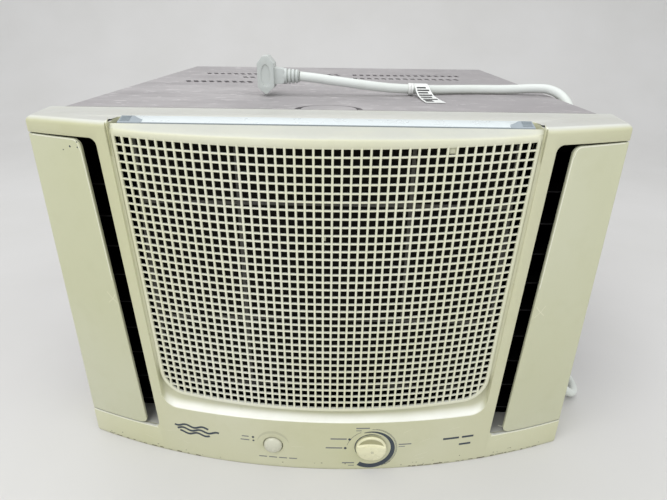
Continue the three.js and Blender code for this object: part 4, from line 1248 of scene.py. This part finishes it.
def door_wear():
    """A crossed scratch on each door and a few dark specks near the top of the left one."""
    for word, x, z in (("left", -185.4, 168.6), ("right", 187.3, 163.6)):
        strokes = [
            ink_line([(x - 4.6, z + 5.6), (x - 1.0, z + 0.8), (x + 4.4, z - 4.6)], 0.75, 0.03),
            ink_line([(x + 4.2, z + 5.2), (x + 0.6, z - 0.4), (x - 4.8, z - 5.4)], 0.6, 0.03),
        ]
        make(f"{word}_door_scratch", merged(strokes), scuff, f"{word}_air_door", "panel_plastic")
    specks = [(-197.5, 300.9, 0.8), (-190.3, 304.8, 0.5), (-204.4, 297.8, 0.5), (-190.6, 300.7, 0.6)]
    spots = [printed_disc(x, z, radius) for x, z, radius in specks]
    make("left_door_specks", merged(spots), print_ink, "left_air_door", "panel_plastic")


def painted_edge_highlights():
    """Painted highlights: a thin light line along each door's upper edge and along the sill below it."""
    for word, side in SIDES.items():
        top = SLOT_TOP - 2.3
        corner = [(189.2, top - 6.0), (189.6, top - 3.6), (190.9, top - 1.4), (192.8, top - 0.3)]
        corner.append((195.5, top))
        inner = [(188.6 - (top - z) * 0.0525, z) for z in spread(top - 120, top - 9, 8)]
        run = inner + corner + [(x, top + (x - 195.5) * 0.02) for x in spread(200.0, 232.5, 8)]
        line = ink_line([(side * x, z) for x, z in run], 0.7, 0.04)
        make(f"{word}_door_highlight", line, painted_edge_highlight, f"{word}_air_door", "panel_plastic", crease=30)
        sill_x = spread(SLOT_INNER_LOW + 2.0, PANEL_HALF_WIDTH - 1.0, 14)
        sill = [(side * x, SLOT_BOTTOM - 0.75) for x in sill_x]
        panel_piece(f"{word}_sill_highlight", ink_line(sill, 1.1, 0.05), painted_edge_highlight, crease=30)


def vane_profile(half, camber, thickness, steps=10):
    """A thin curved section in (y, z) with a rounded front edge."""
    def height(t):
        return camber * (1 - (2 * t - 1) ** 2)

    above = [(-half + 2 * half * k / steps, height(k / steps)) for k in range(steps + 1)]
    below = [(y, z - thickness) for y, z in reversed(above)]
    nose = [(-half - 0.7, -thickness * 0.28), (-half - 0.7, -thickness * 0.72)]
    return above + below + nose[::-1]


def air_vane(word, side, number):
    """A curved blade with its pivot pins, link pin and a lighter front edge, a painted highlight."""
    z = VANE_LOWEST + (number - 1) * VANE_PITCH
    t = (z - SLOT_BOTTOM) / (SLOT_TOP - SLOT_BOTTOM)
    inner = SLOT_INNER_LOW + (SLOT_INNER_TOP - SLOT_INNER_LOW) * t + 1.2
    outer = 218.0
    camber = 2.0
    thickness = 1.8
    profile = vane_profile(VANE_CHORD / 2 - 0.7, camber, thickness)
    lift = camber - thickness / 2
    section = [(y + VANE_AXIS_Y, h - lift + z) for y, h in profile]
    vane = Shape().across(section, *sorted((side * inner, side * outer)))
    for from_x, to_x, y, radius in (
        (inner - 2.6, inner - 0.02, VANE_AXIS_Y, 1.5),
        (outer + 0.02, RACK["x1"] - 0.6, VANE_AXIS_Y, 1.5),
        (outer + 0.02, 222.0, VANE_AXIS_Y + LINK_OFFSET, 1.2),
    ):
        vane.turned([(radius, side * from_x), (radius, side * to_x)], (0, y, z), "x", 16)
    body = f"{word}_vane_{number}"
    make(f"{body}_blade", vane, black, body, "black_plastic", [body], crease=50)
    # The lighter nose is a painted highlight.
    nose_y, nose_z = VANE_AXIS_Y - VANE_CHORD / 2, z - lift - thickness / 2
    nose = Shape().turned([(0.55, side * inner), (0.55, side * outer)], (0, nose_y, nose_z), "x", 10)
    make(f"{body}_nose", nose, vane_nose_highlight, body, "black_plastic", crease=50)


for side_word, side_sign in SIDES.items():
    air_door(side_word, side_sign)
    for vane_number in range(1, VANE_COUNT + 1):
        air_vane(side_word, side_sign, vane_number)

# ---------------------------------------------------------------- controls


def selector_knob():
    """A low round knob: a rounded bar across it, in front of a scooped finger rest."""
    x, z = SELECTOR
    radius = 14.4
    skirt = bow_y(x - radius) - 0.15
    face = FRONT_Y - 3.0
    dome = [(0.2, face)]
    for sine, cosine in quarter_turn(10)[1:]:
        dome.append((radius - 3.4 + 3.4 * sine, face + 3.2 * (1 - cosine)))
    dome += [(radius, skirt), (0.2, skirt)]
    knob = start("selector_knob_disc", Shape().turned(dome, (x, 0, z), "y", 80))
    scoop, slant = [], []
    for u in spread(-radius - 1, radius + 1, 25):
        bend = 2.4 * (u / radius) ** 2
        lower = z + 5.0 - bend
        section = [
            (-4, lower - 0.2), (0.9, lower + 0.2), (1.7, lower + 1.2), (1.9, lower + 4.0),
            (1.3, z + radius + 1), (-4, z + radius + 1),
        ]
        scoop.append([(x + u, face + back, height) for back, height in section])
        upper = z - 5.2 + bend * 0.5
        section = [(-4, upper), (-0.05, upper), (2.4, z - radius - 1), (-4, z - radius - 1)]
        slant.append([(x + u, face + back, height) for back, height in section])
    cut(knob, Shape().loft(scoop))
    cut(knob, Shape().loft(slant))
    soften(knob, 0.45, 3, 35)
    give(knob, ivory, "selector_knob", ["selector_knob"], 35)
    rows = []
    for u in spread(-radius + 2.6, radius - 2.6, 25):
        reach = math.sqrt((radius - 2.0) ** 2 - u * u)
        lower = min(z + 6.4 - 2.4 * (u / radius) ** 2, z + reach - 0.2)
        section = [(2.6, lower), (1.75, lower), (1.5, z + reach), (2.6, z + reach)]
        rows.append([(x + u, face + back, height) for back, height in section])
    # The finger rest is darker: grime and painted shade.
    knob_piece("selector_knob_rest", Shape().loft(rows), knob_shade, crease=40)
    dots = Shape()
    for k in range(7):
        turn = 2 * math.pi * k / 6
        dx, dz = (0.0, 0.0) if k == 6 else (1.15 * math.cos(turn), 1.15 * math.sin(turn))
        dots.turned([(0.05, face - 0.03), (0.3, face - 0.03), (0.3, face + 0.3), (0.05, face + 0.3)],
                    (x + 1 + dx, 0, z - 2.0 + dz), "y", 10)
    knob_piece("selector_knob_dots", dots, print_ink)
    shaft = Shape().turned([(3, skirt + 0.1), (3, -249)], (x, 0, z), "y", 24)
    knob_piece("selector_knob_shaft", shaft, ivory)


def speed_button():
    """A domed push button on a short stem."""
    x, z = BUTTON
    radius = 8.7
    front = bow_y(x) - 4.4
    profile = [(0.2, front)]
    for sine, cosine in quarter_turn(12)[1:]:
        profile.append((radius * sine, front + 4.6 * (1 - cosine)))
    profile += [(radius, front + 9), (2.6, front + 9), (2.6, -249.6), (0.2, -249.6)]
    dome = Shape().turned(profile, (x, 0, z), "y", 64)
    make("speed_button_dome", dome, pearl, "speed_button", "knob_plastic", ["speed_button"], crease=40)


def printed_arc(centre, radius, start_degrees, end_degrees, start_width, end_width, middle_width=None):
    """A thin raised band of ink on the bow, whose width changes along it."""
    steps = 40
    rows = []
    for k in range(steps + 1):
        t = k / steps
        angle = math.radians(start_degrees + (end_degrees - start_degrees) * t)
        width = start_width + (end_width - start_width) * t
        if middle_width is not None:
            width = start_width * (1 - t) + end_width * t + middle_width * math.sin(math.pi * t)
        ring = []
        near, far = radius - width / 2, radius + width / 2
        for r, inset in ((near, 0.05), (far, 0.05), (far, -0.05), (near, -0.05)):
            px, pz = centre[0] + r * math.cos(angle), centre[1] + r * math.sin(angle)
            ring.append((px, bow_y(px, inset), pz))
        rows.append(ring)
    return Shape().loft(rows)


def printed_disc(px, pz, radius):
    """A round dot of ink on the bow."""
    rim = [polar(radius, k * math.pi / 12) for k in range(24)]
    rows = []
    for inset in (0.05, -0.05):
        rows.append([(px + dx, bow_y(px + dx, inset), pz + dz) for dx, dz in rim])
    return Shape().loft(rows)


def prints():
    """The marks printed round the knob and beside the button; plain bars stand for words. A thin ring at the
    knob's top and left and a crescent above the button are painted shadow.
    """
    kx, kz = SELECTOR[0] - 0.5, SELECTOR[1] - 2.2
    bx, bz = BUTTON
    marks = [
        printed_arc((kx, kz), 21.0, 108, -122, 0.7, 5.2, 1.2),
        printed_arc((kx, kz), 24.0, 88, -62, 0.3, 0.3),
        printed_arc((kx, kz), 24.9, 80, -54, 0.28, 0.28),
        printed_arc((kx, kz), 22.6, 114, 166, 0.3, 0.3),
        # A painted shadow: the thin dark ring at the knob's top and left.
        printed_arc((kx + 0.3, kz + 2.9), 15.0, 50, 235, 0.15, 0.15, 0.8),
        printed_disc(kx - 19.8, kz + 12.3, 1.35),
        printed_disc(kx - 23.7, kz + 1.6, 1.35),
        printed_disc(bx - 18.8, bz + 7.6, 1.2),
        printed_disc(bx - 18.6, bz + 3.4, 1.0),
    ]
    words = [
        (kx - 14, kz + 25.6, 12.5, 1.3), (kx - 14, kz + 22.8, 5.0, 0.8), (kx - 37.5, kz + 12.8, 15.0, 1.5),
        (kx - 42.0, kz + 1.8, 15.5, 1.5), (kx + 26.4, kz + 4.4, 12.0, 1.3), (kx + 26.4, kz + 1.6, 6.0, 0.8),
        (kx - 26.5, kz - 16.9, 11.5, 1.3), (kx - 20.5, kz - 20.2, 5.5, 0.8), (bx - 29.5, bz + 7.8, 6.5, 1.2),
        (bx - 31.0, bz + 3.6, 8.5, 1.2),
    ]
    bars = [ink_bar(*word) for word in words]
    for k in range(4):
        bars.append(ink_bar(bx - 14 + k * 9.6, bz - 15.2, 7.6, 1.2))
    panel_piece("control_words", merged(bars), faint_ink, crease=20)
    for row, (length, rise) in enumerate(((34.0, 0.0), (42.0, -4.2), (30.0, -8.4))):
        wave = []
        for k in range(25):
            x = -143.0 + row * 2.4 + length * k / 24
            wave.append((x, 37.6 + rise + 1.3 * math.sin(2 * math.pi * (x + 3 * row) / 17)))
        marks.append(ink_line(wave, 2.2))
    for x, z, length in ((113.6, 32.2, 15.5), (132.0, 32.2, 11.5), (130.0, 23.4, 11.5)):
        marks.append(ink_bar(x, z, length, 2.2))
    panel_piece("control_prints", merged(marks), print_ink, crease=20)
    # Painted shadow: a crescent above the button.
    crescent = printed_arc((bx, bz), 15.4, 165, 15, 0.25, 0.25, 2.6)
    panel_piece("button_painted_shadow", crescent, shadow_cream, crease=20)


def panel_wear():
    """Grime and a painted contact shadow along the bottom edge, with chips and a few hairline scratches
    above it.
    """
    chance = random.Random(11)
    marks = []
    # A dark broken line along the foot: grime and a painted contact shadow.
    for first, last in ((-222.0, -120.0), (82.0, 216.0)):
        x = first
        while x < last:
            length = chance.uniform(2.0, 9.0)
            z = 1.5 + chance.uniform(0.0, 0.5)
            marks.append(ink_line([(x, z), (x + length / 2, z + chance.uniform(-0.2, 0.2)), (x + length, z)],
                                  chance.uniform(0.3, 1.1), 0.03))
            x += length + chance.uniform(0.4, 7.0)
    for _ in range(26):
        x, z = chance.uniform(-225, 225), chance.uniform(2.5, 9.0)
        marks.append(ink_line([(x, z), (x + chance.uniform(0.5, 1.6), z + chance.uniform(-0.5, 0.5))],
                              chance.uniform(0.3, 0.8), 0.03))
    panel_piece("panel_edge_grime_and_shadow", merged(marks), grime_and_shadow, crease=20)
    scratches = []
    for _ in range(16):
        x, z = chance.uniform(-215, 205), chance.uniform(5.0, 46.0)
        run, rise = chance.uniform(4.0, 15.0), chance.uniform(-5.0, 5.0)
        scratches.append(ink_line([(x, z), (x + run / 2, z + rise / 2), (x + run, z + rise)], 0.22, 0.02))
    panel_piece("panel_scratches", merged(scratches), scuff, crease=20)


selector_knob()
speed_button()
prints()
panel_wear()
painted_edge_highlights()
door_wear()

# ---------------------------------------------------------------- cabinet


def arch(inset, bottom, corner=6.0):
    """The cabinet's section in (x, z), drawn in by an inset."""
    half = CABINET_HALF_WIDTH - inset
    top = CABINET_TOP - inset
    radius = max(corner - inset, 0.5)
    return rounded([(-half, bottom), (half, bottom), (half, top, radius), (-half, top, radius)], 8)


def cabinet_top_vents():
    """Cutters for the slots in the top; those on the left lean more than those on the right."""
    slots = Shape()
    half_width, half_length, pitch = 2.9, 9.5, 9.7
    signs = ((-1, -1), (1, -1), (1, 1), (-1, 1))
    outline = rounded([(i * half_width, j * half_length, 1.6) for i, j in signs], 3)
    rows = ((152, -183, 4), (152, 27, 174), (105, -122, 4), (105, 27, 170), (50, -184, -98))
    for y, first, last in rows:
        slant = 0.35 if first < 0 else 0.02
        for k in range(int((last - first) / pitch) + 1):
            x = first + k * pitch
            turned = []
            for u, v in outline:
                across = x + u * math.cos(slant) - v * math.sin(slant)
                along = y + u * math.sin(slant) + v * math.cos(slant)
                turned.append((across, along))
            slots.upright(turned, CABINET_TOP - 6, CABINET_TOP + 6)
    return slots


def cabinet_side_vents():
    """Cutters for two columns of slots in each side."""
    slots = Shape()
    for side in SIDES.values():
        for y in (20, 84):
            for row in range(7):
                z = 140 + row * 20
                outline = rounded([(y, z, 2.9), (y + 52, z, 2.9), (y + 52, z + 6, 2.9), (y, z + 6, 2.9)], 4)
                slots.across(outline, *sorted((side * 230, side * 242)))
    return slots


def lanced_tab():
    """A half-round slit behind the panel, wider at its two ends."""
    slit = Shape()
    centre = (0.4, PANEL_REAR_Y + 2)
    rows = []
    for k in range(33):
        angle = math.pi * k / 32
        width = 0.85 + 1.9 * abs(math.cos(angle)) ** 6
        ring = []
        for dr, dz in ((-width, -4), (width, -4), (width, 4), (-width, 4)):
            x = centre[0] + (27.5 + dr) * math.cos(angle)
            y = centre[1] + (24 + dr) * math.sin(angle)
            ring.append((x, y, CABINET_TOP + dz))
        rows.append(ring)
    return slit.loft(rows)


def cabinet():
    """The steel wrap with its vents, the collar inside the panel, and the screws."""
    front = PANEL_REAR_Y + 0.4
    shell = start("cabinet_wrap", Shape().backward(arch(0, CABINET_BOTTOM), front, CABINET_REAR_Y))
    cut(shell, Shape().backward(arch(SHEET, CABINET_BOTTOM - 5), front - 1, CABINET_REAR_Y - SHEET))
    cut(shell, Shape().backward(arch(13, CABINET_BOTTOM - 5, 14.0), front - 1, CABINET_REAR_Y + 1))
    cut(shell, cabinet_top_vents())
    cut(shell, cabinet_side_vents())
    cut(shell, lanced_tab())
    tidy(shell, 0.005)
    give(shell, cabinet_paint, "unit", ["cabinet_shell"], 30)
    collar = start("cabinet_collar", Shape().backward(arch(4, CABINET_BOTTOM + 4), front - 18, front + 2))
    cut(collar, Shape().backward(arch(4 + SHEET, CABINET_BOTTOM - 5), front - 20, front + 5))
    give(collar, cabinet_paint, "unit")
    side_screws = Shape()
    for side in SIDES.values():
        for y in (-140, 200, 250):
            seat = side * (CABINET_HALF_WIDTH - 0.05)
            rim, crown = seat + side * 0.9, seat + side * 2.2
            profile = [(0.2, seat), (4.2, seat), (4.2, rim), (3.2, rim + side * 1.0), (0.2, crown)]
            side_screws.turned(profile, (0, y, 14), "x", 20)
    make("cabinet_side_screws", side_screws, steel, "unit", "galvanised_steel")


cabinet()

# ---------------------------------------------------------------- chassis


def condenser():
    """The rear coil: thin plates on round tubes. Its return bends are CAD nodes."""
    half, y0, y1, z0, z1 = 192.0, 184.0, 232.0, 12.0, 300.0
    fins = Shape()
    pitch = 2.4
    count = int(2 * half / pitch)
    for k in range(count + 1):
        x = -half + k * pitch
        fins.box((x - 0.22, x + 0.22), (y0, y1), (z0, z1))
    make("condenser_fin_stack", fins, aluminium, "unit", "fin_aluminium", ["condenser_fins"])
    tubes = Shape()
    for y in (199, 221):
        for k in range(8):
            z = z0 + 18 + k * 34
            tubes.turned([(3.6, -half - 1), (3.6, half + 1)], (0, y, z), "x", 14)
    make("condenser_tubes", tubes, copper, "unit", "copper_tube")


def finish_nodes():
    """Finishes for the CAD nodes that stay as they are."""
    by_slot = {
        "black_plastic": black, "galvanised_steel": galvanised, "fin_aluminium": aluminium,
        "copper_tube": copper, "foam": foam, "compressor_paint": enamel, "mount_rubber": rubber,
        "cord_sheath": cord_grey, "gland_plastic": gland_black, "panel_plastic": cream,
        "grille_plastic": grille_cream, "filter_plastic": filter_plastic, "knob_plastic": ivory,
        "cabinet_paint": cabinet_paint,
    }
    for row in frame["record"]["subparts"]:
        node = frame["nodes"][row["node"]]
        node.data.materials.clear()
        node.data.materials.append(by_slot[row["material_slot"]])


condenser()
finish_nodes()

# ---------------------------------------------------------------- stage


def stage():
    """A floor that sweeps up into a wall behind the object."""
    n = Nodes("floor")
    tone = n.mix(n.scaled(n.noise(3.0, 3.0), 0.0, 1.0), (0.62, 0.61, 0.59), (0.66, 0.65, 0.635))
    floor_material = n.finish(tone, 0.75, n.bump(n.noise(160.0, 4.0), 0.1, 0.2), Specular_IOR_Level=0.25)
    size = 3.2
    bend_y, bend_radius, wall_top = 1.0, 0.8, 2.6
    sweep = [(-size, 0.0), (bend_y, 0.0)]
    for sine, cosine in quarter_turn(12)[1:]:
        sweep.append((bend_y + bend_radius * sine, bend_radius * (1 - cosine)))
    sweep.append((bend_y + bend_radius, wall_top))
    mesh = bpy.data.meshes.new("floor")
    points = [(x, y, z) for y, z in sweep for x in (-size, size)]
    faces = [(2 * k, 2 * k + 1, 2 * k + 3, 2 * k + 2) for k in range(len(sweep) - 1)]
    mesh.from_pydata(points, [], faces)
    floor = link(bpy.data.objects.new("floor", mesh))
    mesh.polygons.foreach_set("use_smooth", [True] * len(mesh.polygons))
    mesh.materials.append(floor_material)


def lights():
    """A pale sky and three soft lamps."""
    world = bpy.data.worlds.new("studio")
    world.use_nodes = True
    background = world.node_tree.nodes["Background"]
    background.inputs["Color"].default_value = (0.93, 0.96, 1.0, 1)
    background.inputs["Strength"].default_value = 0.66
    bpy.context.scene.world = world
    for name, place, size, power in (
        ("key", (-0.9, -1.4, 2.1), 1.8, 29.0),
        ("fill", (1.5, -1.2, 1.3), 1.6, 9.0),
        ("top", (-0.3, 0.3, 2.4), 2.0, 17.0),
    ):
        data = bpy.data.lights.new(name, "AREA")
        data.size = size
        data.energy = power
        light = link(bpy.data.objects.new(name, data))
        light.location = place
        aim = Vector((0, 0, 0.15)) - Vector(place)
        light.rotation_euler = aim.to_track_quat("-Z", "Y").to_euler()
    bpy.context.scene.view_settings.view_transform = "Standard"


stage()
lights()
